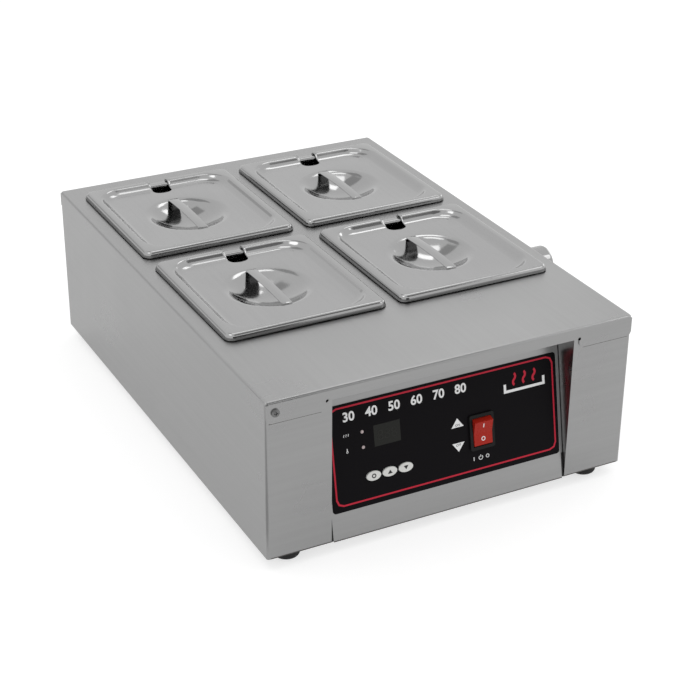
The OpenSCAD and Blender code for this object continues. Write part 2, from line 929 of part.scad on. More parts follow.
module rocker_paddle() {
    pin_l = paddle_w + 2 * (paddle_play + pin_out);
    color("firebrick")
        on_panel()
            translate([switch_right, switch_up, pivot_z]) {
                translate([-paddle_w / 2, 0, 0])
                    rotate([90, 0, 90])
                        linear_extrude(paddle_w)
                            paddle_section();
                translate([-pin_l / 2, 0, 0])
                    along_x()
                        cylinder(h = pin_l, d = pivot_d);
            }
}

module bath_tank() {
    color(steel)
        translate([0, pans_y, 0])
            difference() {
                union() {
                    translate([0, 0, bath_floor - bath_t])
                        linear_extrude(deck_under - bath_floor + bath_t)
                            rounded_rect(bath_w + 2 * bath_t, bath_d + 2 * bath_t, bath_r + bath_t);
                    translate([0, 0, deck_under - bath_t])
                        linear_extrude(bath_t)
                            rounded_rect(
                                bath_w + 2 * bath_flange,
                                bath_d + 2 * bath_flange,
                                bath_r + bath_flange
                            );
                }
                translate([0, 0, bath_floor])
                    linear_extrude(deck_under - bath_floor + cut)
                        rounded_rect(bath_w, bath_d, bath_r);
                for (s = [-1, 1])
                    translate([s * rod_x, -bath_d / 2 + cut, rod_z])
                        along_front()
                            cylinder(h = bath_t + 2 * cut, d = rod_d + 2 * rod_play);
                translate([0, -bath_d / 2 + cut, probe_z])
                    along_front()
                        cylinder(h = bath_t + 2 * cut, d = probe_d + 2 * rod_play);
                translate([bath_w / 2 - cut, filler_y - pans_y, filler_z])
                    along_x()
                        cylinder(h = bath_t + 2 * cut, d = neck_d + 2 * rod_play);
            }
}

// Half a turn of the heating rod, bulging towards +Y
module rod_turn() {
    rotate_extrude(angle = 180)
        translate([rod_bend, 0])
            circle(d = rod_d);
}

// One rod with four legs: both ends leave through the bath's front wall
module heating_element() {
    leg = rod_back - rod_front;
    pin_l = 8;
    color(dark)
        translate([0, 0, rod_z]) {
            for (s = [-1, 1]) {
                translate([s * rod_bend, rod_back, 0])
                    along_front()
                        cylinder(h = leg, d = rod_d);
                translate([s * rod_x, rod_back, 0])
                    along_front()
                        cylinder(h = rod_back - bath_front + bath_t + rod_tail, d = rod_d);
                translate([s * leg_pitch, rod_back, 0])
                    rod_turn();
                translate([s * rod_x, bath_front - bath_t - rod_tail, 0])
                    along_front()
                        cylinder(h = pin_l, d = rod_d / 2);
            }
            translate([0, rod_front, 0])
                rotate(180)
                    rod_turn();
        }
}

// A hexagon nut with a bore, standing on the bath's front wall
module wall_nut(flats, bore) {
    along_front()
        linear_extrude(bath_nut_t)
            difference() {
                hexagon(flats);
                circle(d = bore);
            }
}

module heater_nuts() {
    color("goldenrod")
        for (s = [-1, 1])
            translate([s * rod_x, bath_front - bath_t, rod_z])
                wall_nut(rod_d + 2 * nut_wall, rod_d + 2 * rod_play);
}

// Two combs on the bath's floor that hold the rod's legs up
module heater_supports() {
    comb_w = 2 * rod_x + 3 * rod_d;
    color(steel)
        for (y = [rod_front + leg_pitch, rod_back - leg_pitch])
            translate([0, y, 0])
                difference() {
                    translate([-comb_w / 2, -support_t / 2, bath_floor])
                        cube([comb_w, support_t, rod_lift]);
                    for (i = [-1.5:1:1.5])
                        translate([i * leg_pitch, support_t, rod_z])
                            along_front()
                                cylinder(h = 2 * support_t, d = rod_d + 2 * rod_play);
                }
}

module water_probe() {
    tail = 30;
    color(steel)
        translate([0, bath_front + probe_l, probe_z])
            along_front()
                cylinder(h = probe_l + bath_t + tail, d = probe_d);
}

module probe_nut() {
    color("goldenrod")
        translate([0, bath_front - bath_t, probe_z])
            wall_nut(probe_d + 2 * nut_wall, probe_d + 2 * rod_play);
}

// A snap-disc cut-out clamped on the bath's front wall, with two blades
module limit_thermostat() {
    can_d = 18;
    can_h = 11;
    ear_w = 32;
    ear_h = 9;
    ear_t = 1.5;
    color("saddlebrown")
        translate([thermostat_x, bath_front - bath_t, thermostat_z])
            along_front() {
                linear_extrude(ear_t)
                    oval(ear_w, ear_h);
                cylinder(h = can_h, d = can_d);
                for (s = [-1, 1])
                    translate([s * can_d / 4, 0, can_h])
                        cube([blade_t, blade_w, 2 * blade_l], center = true);
            }
}

module power_relay() {
    pocket = 12;
    color(dark)
        translate([-gear_side, strip_back + gear_back, base_top])
            difference() {
                translate([-relay_w / 2, -relay_d / 2, 0])
                    cube([relay_w, relay_d, relay_h]);
                for (sx = [-1, 1], sy = [-1, 1])
                    translate([sx * (relay_w / 2 - pocket), sy * (relay_d / 2 - pocket), relay_h])
                        cube(pocket, center = true);
            }
}

module terminal_block() {
    poles = 4;
    screw_well = 5;
    wire_hole = 4;
    color("ivory")
        translate([gear_side, strip_back + gear_back, base_top])
            difference() {
                translate([-block_w / 2, -block_d / 2, 0])
                    cube([block_w, block_d, block_h]);
                for (i = [0:poles - 1])
                    translate([(i - (poles - 1) / 2) * block_w / poles, 0, block_h / 2]) {
                        cylinder(h = block_h, d = screw_well);
                        translate([0, block_d, -wire_hole])
                            along_front()
                                cylinder(h = 2 * block_d, d = wire_hole);
                    }
            }
}

// The gland that a mains cord would pass: hexagon, dome and stem, bored through
module cord_gland() {
    hex_l = 6;
    dome_l = 14;
    stem_l = 12;
    dome_d = gland_flats - 1;
    tip_d = gland_flats - 8;
    color("black")
        translate([gland_side - body_w / 2, ring_d / 2 - sheet_t, base_top + gland_up])
            rotate([-90, 0, 0])
                difference() {
                    union() {
                        linear_extrude(hex_l)
                            hexagon(gland_flats);
                        translate([0, 0, hex_l])
                            cylinder(h = dome_l, d1 = dome_d, d2 = tip_d);
                        translate([0, 0, -stem_l])
                            cylinder(h = stem_l, d = gland_d);
                    }
                    translate([0, 0, -stem_l - cut])
                        cylinder(h = stem_l + hex_l + dome_l + 2 * cut, d = cord_bore);
                }
}

module gland_nut() {
    color("black")
        translate([gland_side - body_w / 2, ring_d / 2 - sheet_t - rear_t, base_top + gland_up])
            along_front()
                linear_extrude(nut_t)
                    difference() {
                        hexagon(gland_flats);
                        circle(d = gland_d + 2 * rod_play);
                    }
}

// A tube welded to the bath's side that leaves through the right wall
module filler_neck() {
    color(steel)
        translate([neck_in, filler_y, filler_z])
            along_x()
                difference() {
                    cylinder(h = neck_out - neck_in, d = neck_d);
                    translate([0, 0, -cut])
                        cylinder(h = neck_out - neck_in + 2 * cut, d = neck_bore);
                }
}

module neck_nut() {
    color(steel)
        translate([body_w / 2, filler_y, filler_z])
            along_x()
                linear_extrude(nut_t)
                    difference() {
                        hexagon(neck_d + 2 * nut_wall);
                        circle(d = neck_d + 2 * rod_play);
                    }
}

module cap_seal() {
    color("black")
        translate([neck_out, filler_y, filler_z])
            along_x()
                cylinder(h = seal_t, d = neck_d);
}

module filler_cap() {
    cap_l = body_w / 2 + filler_out - cap_from;
    bore_l = neck_out + seal_t + cap_play - cap_from;
    color(steel)
        translate([cap_from, filler_y, filler_z])
            along_x()
                difference() {
                    union() {
                        cylinder(h = cap_l - cap_round, d = cap_d);
                        cylinder(h = cap_l, d = cap_d - 2 * cap_round);
                        translate([0, 0, cap_l - cap_round])
                            rotate_extrude()
                                translate([cap_d / 2 - cap_round, 0])
                                    circle(cap_round);
                    }
                    translate([0, 0, -cut])
                        cylinder(h = bore_l + cut, r = cap_wall_in);
                }
}

// A drawn pan: lip, flat rim, leaning wall and floor
module pan() {
    top = lid_z;
    floor_top = top - pan_h + pan_t;
    turn_x = pan_draft + pan_floor_r;
    lip = concat(
        [[0, deck_z]],
        arc([press_r, top - press_r], press_r, 180, 90),
        [[press_r + path_end, top]]
    );
    wall = concat(
        [[-press_r - path_end, top]],
        step_down([-press_r, top - press_r], press_r, [turn_x, floor_top + pan_floor_r], pan_floor_r, 8),
        [[turn_x + path_end, floor_top]]
    );
    rim_out = press_r + path_end;
    color(steel) {
        swept_frame(pan_w, pan_d, pan_rim_r, sheet_outline(lip, -pan_t));
        translate([0, 0, top - pan_t])
            linear_extrude(pan_t)
                difference() {
                    rounded_rect(pan_w - 2 * rim_out, pan_d - 2 * rim_out, pan_rim_r - rim_out);
                    rounded_rect(pan_in_w + 2 * rim_out, pan_in_d + 2 * rim_out, pan_wall_r + rim_out);
                }
        swept_frame(pan_in_w, pan_in_d, pan_wall_r, sheet_outline(wall, -pan_t));
        translate([0, 0, floor_top - pan_t])
            linear_extrude(pan_t)
                rounded_rect(
                    pan_in_w - 2 * (turn_x + path_end),
                    pan_in_d - 2 * (turn_x + path_end),
                    pan_wall_r - turn_x - path_end
                );
    }
}

// A pressed lid: turned-down edge, rim, sunken panel, finger dish and ladle notch
module lid() {
    rim_out = press_r + path_end;
    recess_w = lid_w - 2 * lid_rim_w;
    recess_d = lid_d - 2 * lid_rim_w;
    drop = lid_top - press_r;
    rest = lid_panel_z + press_r;
    edge = concat(
        [[0, lid_z]],
        arc([press_r, drop], press_r, 180, 90),
        [[rim_out, lid_top]]
    );
    slope = concat(
        [[-rim_out, lid_top]],
        step_down([-press_r, drop], press_r, [lid_slope_w + press_r, rest], press_r, 5),
        [[lid_slope_w + rim_out, lid_panel_z]]
    );
    bowl_r = (pow(dish_d / 2, 2) + pow(dish_h, 2)) / (2 * dish_h);
    bowl_c = [0, lid_panel_z - dish_h + bowl_r];
    bend_up = bowl_r - dish_h + press_r;
    bend_x = sqrt(pow(bowl_r + press_r, 2) - pow(bend_up, 2));
    bend_c = [bend_x, lid_panel_z - press_r];
    bend_a = atan2(bend_x, bend_up);
    dish = concat(
        [[bend_x + path_end, lid_panel_z]],
        arc(bend_c, press_r, 90, 90 + bend_a),
        arc(bowl_c, bowl_r, bend_a * 0.9 - 90, -90, 9),
        arc(bowl_c, bowl_r + lid_t, -90, bend_a - 90, 10),
        arc(bend_c, press_r - lid_t, 90 + bend_a * 0.8, 90, 4),
        [[bend_x + path_end, lid_panel_z - lid_t]]
    );
    panel_in = lid_slope_w + rim_out;
    color(steel)
        difference() {
            union() {
                swept_frame(lid_w, lid_d, lid_corner_r, sheet_outline(edge, -lid_t));
                translate([0, 0, lid_top - lid_t])
                    linear_extrude(lid_t)
                        difference() {
                            rounded_rect(lid_w - 2 * rim_out, lid_d - 2 * rim_out, lid_corner_r - rim_out);
                            rounded_rect(
                                recess_w + 2 * rim_out,
                                recess_d + 2 * rim_out,
                                lid_recess_r + rim_out
                            );
                        }
                swept_frame(recess_w, recess_d, lid_recess_r, sheet_outline(slope, -lid_t));
                translate([0, 0, lid_panel_z - lid_t])
                    linear_extrude(lid_t)
                        difference() {
                            rounded_rect(
                                recess_w - 2 * panel_in,
                                recess_d - 2 * panel_in,
                                lid_recess_r - panel_in
                            );
                            circle(bend_x + path_end);
                        }
                rotate_extrude()
                    polygon(dish);
            }
            translate([0, lid_d / 2 - notch_l, lid_panel_z - 2 * lid_t])
                linear_extrude(lid_recess_h + 4 * lid_t)
                    translate([0, notch_l])
                        rounded_rect(notch_w, 2 * notch_l, notch_r);
        }
}

// The strip across the finger dish, flat at its welded ends
module lid_handle() {
    seat = dish_d / 2;
    arch_r = (pow(seat, 2) + pow(handle_rise, 2)) / (2 * handle_rise);
    arch_a = asin(seat / arch_r);
    strip = concat(
        [[-seat - handle_seat, 0]],
        arc([0, handle_rise - arch_r], arch_r, 90 + arch_a, 90 - arch_a, 8),
        [[seat + handle_seat, 0]]
    );
    color(steel)
        translate([-handle_w / 2, 0, lid_panel_z])
            rotate([90, 0, 90])
                linear_extrude(handle_w)
                    polygon(sheet_outline(strip, handle_t));
}

// A domed rubber foot with a sunken screw seat
module foot() {
    round_r = (foot_d - sole_d) / 2;
    seat_z = foot_h - foot_web;
    head_room = 1;
    color("black")
        difference() {
            union() {
                cylinder(h = foot_h, d = sole_d);
                translate([0, 0, round_r])
                    cylinder(h = foot_h - round_r, d = foot_d);
                translate([0, 0, round_r])
                    rotate_extrude()
                        translate([sole_d / 2, 0])
                            circle(round_r);
            }
            translate([0, 0, -cut])
                cylinder(h = seat_z + cut, d = head_d + head_room);
            cylinder(h = foot_h + cut, d = screw_d + 2 * screw_play);
        }
}

module at_foot(w) {
    translate([side_of(w) * foot_x, row_of(w) * foot_y, 0])
        children();
}

module foot_screws() {
    color(dark)
        for (w = WELLS)
            at_foot(w)
                translate([0, 0, foot_h - foot_web])
                    rotate([180, 0, 0])
                        screw(screw_l);
}

module foot_nuts() {
    color(dark)
        for (w = WELLS)
            at_foot(w)
                translate([0, 0, base_top])
                    linear_extrude(foot_nut_t)
                        difference() {
                            hexagon(foot_nut_flats);
                            circle(d = screw_d + 2 * screw_play);
                        }
}

module base_screws() {
    color(dark)
        for (s = [-1, 1], y = base_screw_y)
            translate([s * base_screw_x, y, foot_h])
                rotate([180, 0, 0])
                    screw(screw_l);
}

module rear_screws() {
    color(dark)
        for (s = [-1, 1], z = rear_screw_z)
            translate([s * rear_screw_x, ring_d / 2, z])
                rotate([-90, 0, 0])
                    screw(screw_l);
}

module flange_screw() {
    color(dark)
        translate([flange_screw_x, front_y, flange_screw_z])
            along_front()
                screw(screw_l);
}

housing_shell();
base_plate();
rear_panel();
control_panel();
panel_overlay();
display_window();
display_module();
control_board();
board_standoffs();
lamp(1);  // lamp_upper
lamp(0);  // lamp_lower
key(-1);  // key_set
key(0);  // key_up
key(1);  // key_down
rocker_frame();
rocker_paddle();
bath_tank();
heating_element();
heater_nuts();
heater_supports();
water_probe();
probe_nut();
limit_thermostat();
power_relay();
terminal_block();
cord_gland();
gland_nut();
filler_neck();
neck_nut();
cap_seal();
filler_cap();
for (w = WELLS) {
    at_well(w) pan();
    at_well(w) lid();
    at_well(w) lid_handle();
    at_foot(w) foot();
}
foot_screws();
foot_nuts();
base_screws();
rear_screws();
flange_screw();
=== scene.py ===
# %% [markdown]
# A bench-top melting tank for chocolate, finished in Blender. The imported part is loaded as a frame
# that stays where it is. Every look below is built around it, in metres and in the same axes: X to
# the right, Y to the back, Z up.

# %% Load the frame
import json
import math

import bmesh
import bpy
from mathutils import Matrix, Vector

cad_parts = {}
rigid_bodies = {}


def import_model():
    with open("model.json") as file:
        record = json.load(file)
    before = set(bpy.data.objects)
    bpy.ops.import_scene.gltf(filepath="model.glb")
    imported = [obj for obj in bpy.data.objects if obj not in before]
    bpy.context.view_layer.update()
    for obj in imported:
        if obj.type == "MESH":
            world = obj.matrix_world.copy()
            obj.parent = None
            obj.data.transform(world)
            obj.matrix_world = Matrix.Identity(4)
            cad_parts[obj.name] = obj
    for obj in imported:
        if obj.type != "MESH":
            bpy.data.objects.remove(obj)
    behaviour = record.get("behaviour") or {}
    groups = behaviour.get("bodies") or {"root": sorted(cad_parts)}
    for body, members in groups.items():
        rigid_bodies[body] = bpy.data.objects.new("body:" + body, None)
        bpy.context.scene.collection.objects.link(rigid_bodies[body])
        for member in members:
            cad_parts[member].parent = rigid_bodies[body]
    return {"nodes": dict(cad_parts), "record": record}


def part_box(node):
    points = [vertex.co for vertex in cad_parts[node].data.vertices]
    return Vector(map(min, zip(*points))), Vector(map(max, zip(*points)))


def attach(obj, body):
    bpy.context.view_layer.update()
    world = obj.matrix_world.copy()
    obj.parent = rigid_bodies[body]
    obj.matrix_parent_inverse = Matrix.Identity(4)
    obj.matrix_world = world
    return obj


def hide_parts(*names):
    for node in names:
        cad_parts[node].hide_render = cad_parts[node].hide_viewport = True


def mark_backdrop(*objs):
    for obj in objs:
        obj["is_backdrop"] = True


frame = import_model()
nodes = frame["nodes"]
scene = bpy.context.scene
MM = 0.001
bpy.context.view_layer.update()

# %% [markdown]
# The camera stands to the left of the front and looks down on the lids, as in the photograph. It
# could be placed by eye and nudged. Here the housing's seven visible corners were fitted to the
# picture instead, which gives the angles, the distance and the lens at once, so that proportions
# can be compared edge by edge.

# %% Camera
AZIMUTH, ELEVATION, ROLL = math.radians(-27.69), math.radians(27.57), math.radians(0.5)
FRAME_PX = 700
FOCAL_PX = 1720.38
SENSOR_MM = 36.0
DISTANCE = 1764.18 * MM
TARGET = Vector((28.68, 0.0, 49.21)) * MM


def towards(azimuth, elevation):
    """The direction from the object to a point of the studio, with azimuth zero at the front."""
    level = math.cos(elevation)
    return Vector((math.sin(azimuth) * level, -math.cos(azimuth) * level, math.sin(elevation)))


back = towards(AZIMUTH, ELEVATION)
right = Vector((math.cos(AZIMUTH), math.sin(AZIMUTH), 0.0))
roll = Matrix.Rotation(ROLL, 4, back)
axes = Matrix((right, back.cross(right), back)).transposed().to_4x4()
camera = bpy.data.objects.new("camera", bpy.data.cameras.new("camera"))
scene.collection.objects.link(camera)
camera.matrix_world = Matrix.Translation(TARGET + back * DISTANCE) @ roll @ axes
camera.data.sensor_width = SENSOR_MM
camera.data.lens = FOCAL_PX / FRAME_PX * SENSOR_MM
scene.camera = camera
print("camera at", [round(v, 3) for v in camera.location], "lens", round(camera.data.lens, 1), "mm")

# %% [markdown]
# The picture has a white ground and soft light from all round, as in a photographer's tent. A tent
# could be built of screens and many lamps, but a plain white world gives that light with less
# noise. A Light Path node makes it full white where it is seen, also in the steel, and a little
# weaker as light.

# %% World
LIGHT_LEVEL = 0.86
SEEN = ["Is Camera Ray", "Is Glossy Ray", "Is Transmission Ray"]


def any_of(tree, rays):
    """1 for a ray of any of these kinds, else 0."""
    path = tree.nodes.new("ShaderNodeLightPath")
    total = path.outputs[rays[0]]
    for ray in rays[1:]:
        larger = tree.nodes.new("ShaderNodeMath")
        larger.operation = "MAXIMUM"
        tree.links.new(total, larger.inputs[0])
        tree.links.new(path.outputs[ray], larger.inputs[1])
        total = larger.outputs[0]
    return total


def by_ray(tree, other, direct, rays):
    """A value that is direct for these rays, and other for the rest."""
    change = tree.nodes.new("ShaderNodeMapRange")
    change.inputs["To Min"].default_value = other
    change.inputs["To Max"].default_value = direct
    tree.links.new(any_of(tree, rays), change.inputs["Value"])
    return change.outputs["Result"]


scene.view_settings.view_transform = "Standard"
world = bpy.data.worlds.new("white_room")
world.use_nodes = True
scene.world = world
sky = world.node_tree.nodes["Background"]
sky.inputs["Color"].default_value = (1, 1, 1, 1)
strength = by_ray(world.node_tree, LIGHT_LEVEL, 1.0, SEEN)
world.node_tree.links.new(strength, sky.inputs["Strength"])
print("white world, light level", LIGHT_LEVEL)

# %% [markdown]
# The floor is white to the camera and still takes the tank's shadow. A shadow catcher needs a
# background laid behind it afterwards, so a plain diffuse floor gets a glow of its own instead. The
# glow is weaker in reflections, and the walls that mirror the floor stay a shade darker than the
# deck.

# %% Floor
GROUND_SIZE = 6.0
FLOOR_COLOUR = (0.5, 0.5, 0.5, 1)
FLOOR_ROUGH = 0.9
FLOOR_GLOW, MIRRORED_GLOW = 0.64, 0.44


def stand(name, bm, finish):
    """A piece of the studio, which isn't part of the object."""
    mesh = bpy.data.meshes.new(name)
    bm.to_mesh(mesh)
    bm.free()
    mesh.materials.append(finish)
    made = bpy.data.objects.new(name, mesh)
    scene.collection.objects.link(made)
    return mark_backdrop(made) or made


paper = bpy.data.materials.new("floor_paper")
paper.use_nodes = True
shader = paper.node_tree.nodes["Principled BSDF"]
shader.inputs["Base Color"].default_value = FLOOR_COLOUR
shader.inputs["Roughness"].default_value = FLOOR_ROUGH
shader.inputs["Specular IOR Level"].default_value = 0.0
shader.inputs["Emission Color"].default_value = (1, 1, 1, 1)
glow = by_ray(paper.node_tree, MIRRORED_GLOW, FLOOR_GLOW, ["Is Camera Ray"])
paper.node_tree.links.new(glow, shader.inputs["Emission Strength"])
bm = bmesh.new()
bmesh.ops.create_grid(bm, x_segments=1, y_segments=1, size=GROUND_SIZE)
stand("floor", bm, paper)
print("white floor,", GROUND_SIZE * 2, "m wide")

# %% [markdown]
# Polished sheet shows what stands around it. A photographer gives bends their dark lines with
# cards, and so does this studio: a dark card low at the front, grey ones at the front right, behind
# and overhead, and a grey mat on the floor before the left corner. Real cards would also take light
# away. These are seen by reflections alone, so each can be moved without changing the light on the
# rest.

# %% Cards
# Each card: direction in degrees, size and distance in metres, and how bright it looks.
CARDS = {
    "card_low": ((-3.0, 12.0), (1.15, 0.72), 1.6, 0.06),
    "card_front": ((28.0, 56.0), (1.05, 0.85), 1.63, 0.28),
    "card_behind": ((-143.0, 20.0), (0.9, 0.5), 1.6, 0.7),
    "card_over": ((-176.0, 61.0), (0.55, 0.5), 1.6, 0.56),
}
MAT_AT, MAT_TURN = (-0.42, -0.365, 0.001), math.radians(24.0)
MAT_SIZE, MAT_LEVEL = (0.44, 0.20), 0.5
HIDDEN_FROM = ("camera", "diffuse", "shadow", "transmission", "volume_scatter")


def facing(azimuth, elevation, away):
    """Where a card or lamp stands that looks at the tank from this direction, given in degrees."""
    out = towards(math.radians(azimuth), math.radians(elevation))
    return Matrix.Translation(TARGET + out * away) @ out.to_track_quat("Z", "Y").to_matrix().to_4x4()


boards = {}
for name, (direction, size, away, level) in CARDS.items():
    boards[name] = (size, facing(*direction, away), level)
lying = Matrix.Translation(MAT_AT) @ Matrix.Rotation(MAT_TURN, 4, "Z")
boards["mat_corner"] = (MAT_SIZE, lying, MAT_LEVEL)
for name, (size, place, level) in boards.items():
    board = bpy.data.materials.new(name)
    board.use_nodes = True
    shader = board.node_tree.nodes["Principled BSDF"]
    shader.inputs["Base Color"].default_value = (0.0, 0.0, 0.0, 1)
    shader.inputs["Specular IOR Level"].default_value = 0.0
    shader.inputs["Emission Color"].default_value = (1, 1, 1, 1)
    shader.inputs["Emission Strength"].default_value = level
    bm = bmesh.new()
    bmesh.ops.create_grid(bm, x_segments=1, y_segments=1, size=0.5)
    bmesh.ops.scale(bm, verts=bm.verts, vec=(*size, 1))
    bmesh.ops.transform(bm, verts=bm.verts, matrix=place)
    card = stand(name, bm, board)
    for kind in HIDDEN_FROM:
        setattr(card, "visible_" + kind, False)
print("cards:", ", ".join(boards))

# %% [markdown]
# The bright spots on the lids' corners, in their dishes and on the deck's front fold are mirrored
# windows or lamps. A sun lamp would make them too small and hard. Small area lamps have a size that
# shows in the steel, and their power follows from their area, so a larger one isn't brighter to
# look at.

# %% Lamps
# Each lamp: direction in degrees, size in metres, and how bright it looks.
LAMPS = {
    "lamp_left": ((-75.0, 63.0), (0.60, 0.50), 1.9),
    "lamp_right": ((107.0, 17.0), (0.60, 0.40), 1.7),
    "lamp_back": ((137.0, 52.0), (0.45, 0.30), 1.8),
    "lamp_front": ((55.0, 44.0), (0.50, 0.40), 1.7),
    "lamp_over": ((150.0, 74.0), (0.45, 0.35), 1.45),
}
LAMP_AWAY = 1.6

for name, (direction, size, level) in LAMPS.items():
    lamp = bpy.data.objects.new(name, bpy.data.lights.new(name, "AREA"))
    lamp.data.shape = "RECTANGLE"
    lamp.data.size, lamp.data.size_y = size
    lamp.data.energy = level * math.pi * size[0] * size[1]
    lamp.matrix_world = facing(*direction, LAMP_AWAY)
    scene.collection.objects.link(lamp)
    print(name, round(lamp.data.energy, 2), "W")

# %% [markdown]
# Nothing real has one flat colour. A painted or photographed texture could bring the variety, but
# it has to be unwrapped and has a limited sharpness. So each finish below starts from a Principled
# shader, and noise in Object coordinates moves its colour, roughness and surface a little. These
# helpers keep each to a few lines.

# %% Helpers for finishes
NOISE_LOW, NOISE_HIGH = 0.3, 0.7
finishes = {}


def new_finish(name, base, metallic, rough, specular=0.5):
    """A material with its Principled shader set, kept by name."""
    finish = bpy.data.materials.new(name)
    finish.use_nodes = True
    shader = finish.node_tree.nodes["Principled BSDF"]
    shader.inputs["Base Color"].default_value = (*base, 1)
    shader.inputs["Metallic"].default_value = metallic
    shader.inputs["Roughness"].default_value = rough
    shader.inputs["Specular IOR Level"].default_value = specular
    finishes[name] = finish
    return finish.node_tree, shader


def noise(tree, scale, stretch=(1, 1, 1), detail=3.0):
    """A noise pattern in Object coordinates, stretched along the axes."""
    place = tree.nodes.new("ShaderNodeTexCoord")
    mapping = tree.nodes.new("ShaderNodeMapping")
    mapping.inputs["Scale"].default_value = stretch
    pattern = tree.nodes.new("ShaderNodeTexNoise")
    pattern.inputs["Scale"].default_value = scale
    pattern.inputs["Detail"].default_value = detail
    tree.links.new(place.outputs["Object"], mapping.inputs["Vector"])
    tree.links.new(mapping.outputs["Vector"], pattern.inputs["Vector"])
    return pattern.outputs["Fac"]


def between(tree, pattern, low, high):
    """A number that follows a pattern from low to high."""
    change = tree.nodes.new("ShaderNodeMapRange")
    change.inputs["From Min"].default_value = NOISE_LOW
    change.inputs["From Max"].default_value = NOISE_HIGH
    change.inputs["To Min"].default_value = low
    change.inputs["To Max"].default_value = high
    tree.links.new(pattern, change.inputs["Value"])
    return change.outputs["Result"]


def shade(tree, pattern, dark, light):
    """A colour that follows a pattern between two colours."""
    mix = tree.nodes.new("ShaderNodeMix")
    mix.data_type = "RGBA"
    mix.inputs["A"].default_value = (*dark, 1)
    mix.inputs["B"].default_value = (*light, 1)
    tree.links.new(between(tree, pattern, 0.0, 1.0), mix.inputs["Factor"])
    return mix.outputs["Result"]


def roughen(tree, shader, pattern, depth):
    """Raises the surface by a pattern, by this depth in metres."""
    bump = tree.nodes.new("ShaderNodeBump")
    bump.inputs["Distance"].default_value = depth
    tree.links.new(pattern, bump.inputs["Height"])
    tree.links.new(bump.outputs["Normal"], shader.inputs["Normal"])


def tint(base, amount):
    """A colour made lighter or darker by a share of itself."""
    return tuple(min(1.0, part * (1 + amount)) for part in base)


print("helpers ready, noise used from", NOISE_LOW, "to", NOISE_HIGH)

# %% [markdown]
# The sheet is stainless steel with a satin grain. An anisotropic shader could stretch its
# highlights, but it would show no lines close by. The grain follows the sheet through its folds: it
# runs to the back on the deck and the walls, and sideways on the front strips. So two stretched
# noises are mixed by the way that the face looks, and a broad one adds the cloudy patches that
# wiping leaves.

# %% Steel finishes
GRAIN_SCALE, GRAIN_STRETCH = 260.0, 0.02
SMEAR_SCALE, SMEAR_DETAIL = 11.0, 4.0
STEEL_ROUGH_SPREAD = 0.04


def steel(name, base, rough, grain=0.02, smear=0.04, depth=0.000002):
    """Brushed sheet steel: grain in colour, roughness and surface, with faint smears."""
    tree, shader = new_finish(name, base, 1.0, rough)
    face = tree.nodes.new("ShaderNodeNewGeometry")
    parts = tree.nodes.new("ShaderNodeSeparateXYZ")
    tree.links.new(face.outputs["True Normal"], parts.inputs["Vector"])
    frontal = tree.nodes.new("ShaderNodeMath")
    frontal.operation = "ABSOLUTE"
    tree.links.new(parts.outputs["Y"], frontal.inputs[0])
    lines = tree.nodes.new("ShaderNodeMix")
    tree.links.new(frontal.outputs[0], lines.inputs["Factor"])
    tree.links.new(noise(tree, GRAIN_SCALE, (1, GRAIN_STRETCH, 1)), lines.inputs["A"])
    tree.links.new(noise(tree, GRAIN_SCALE, (GRAIN_STRETCH, 1, 1)), lines.inputs["B"])
    grains = lines.outputs["Result"]
    smears = noise(tree, SMEAR_SCALE, detail=SMEAR_DETAIL)
    mix = tree.nodes.new("ShaderNodeMix")
    mix.data_type = "RGBA"
    mix.blend_type = "MULTIPLY"
    mix.inputs["Factor"].default_value = 1.0
    tree.links.new(shade(tree, grains, tint(base, -grain), tint(base, grain)), mix.inputs["A"])
    tree.links.new(shade(tree, smears, (1 - smear,) * 3, (1, 1, 1)), mix.inputs["B"])
    tree.links.new(mix.outputs["Result"], shader.inputs["Base Color"])
    shine = between(tree, smears, rough - STEEL_ROUGH_SPREAD, rough + STEEL_ROUGH_SPREAD)
    tree.links.new(shine, shader.inputs["Roughness"])
    roughen(tree, shader, grains, depth)


steel("steel_satin", (0.36, 0.36, 0.36), 0.30)
steel("steel_bright", (0.37, 0.37, 0.37), 0.13, grain=0.015, smear=0.03, depth=0.000001)
# steel_dark also makes the fine lines of painted shadow and painted shade at the front, further down.
steel("steel_dark", (0.13, 0.125, 0.12), 0.45, grain=0.2, smear=0.3)
steel("zinc", (0.36, 0.37, 0.39), 0.32, grain=0.08, smear=0.1)
steel("screw_dull", (0.24, 0.24, 0.24), 0.5, grain=0.05, smear=0.1)
steel("brass", (0.55, 0.38, 0.13), 0.30, grain=0.08, smear=0.1)
print("steel finishes:", ", ".join(finishes))

# %% [markdown]
# The other finishes are plastics, rubber, film and ink. Each could have a node tree of its own, but
# they differ only in numbers, so one function makes them all: moulded plastic has a fine grain that
# breaks up its shine, rubber a coarser one, and printed ink only a trace of unevenness.

# %% Plastic, rubber and ink
SPECK_DETAIL = 2.0
SPECK_ROUGH_SPREAD = 0.05


def moulded(name, base, rough, specular=0.4, speck=900.0, spread=0.12, depth=0.00001):
    """A moulded or printed surface with fine specks in colour, shine and height."""
    tree, shader = new_finish(name, base, 0.0, rough, specular)
    specks = noise(tree, speck, detail=SPECK_DETAIL)
    colour = shade(tree, specks, tint(base, -spread), tint(base, spread))
    tree.links.new(colour, shader.inputs["Base Color"])
    shine = between(tree, specks, rough - SPECK_ROUGH_SPREAD, rough + SPECK_ROUGH_SPREAD)
    tree.links.new(shine, shader.inputs["Roughness"])
    roughen(tree, shader, specks, depth)


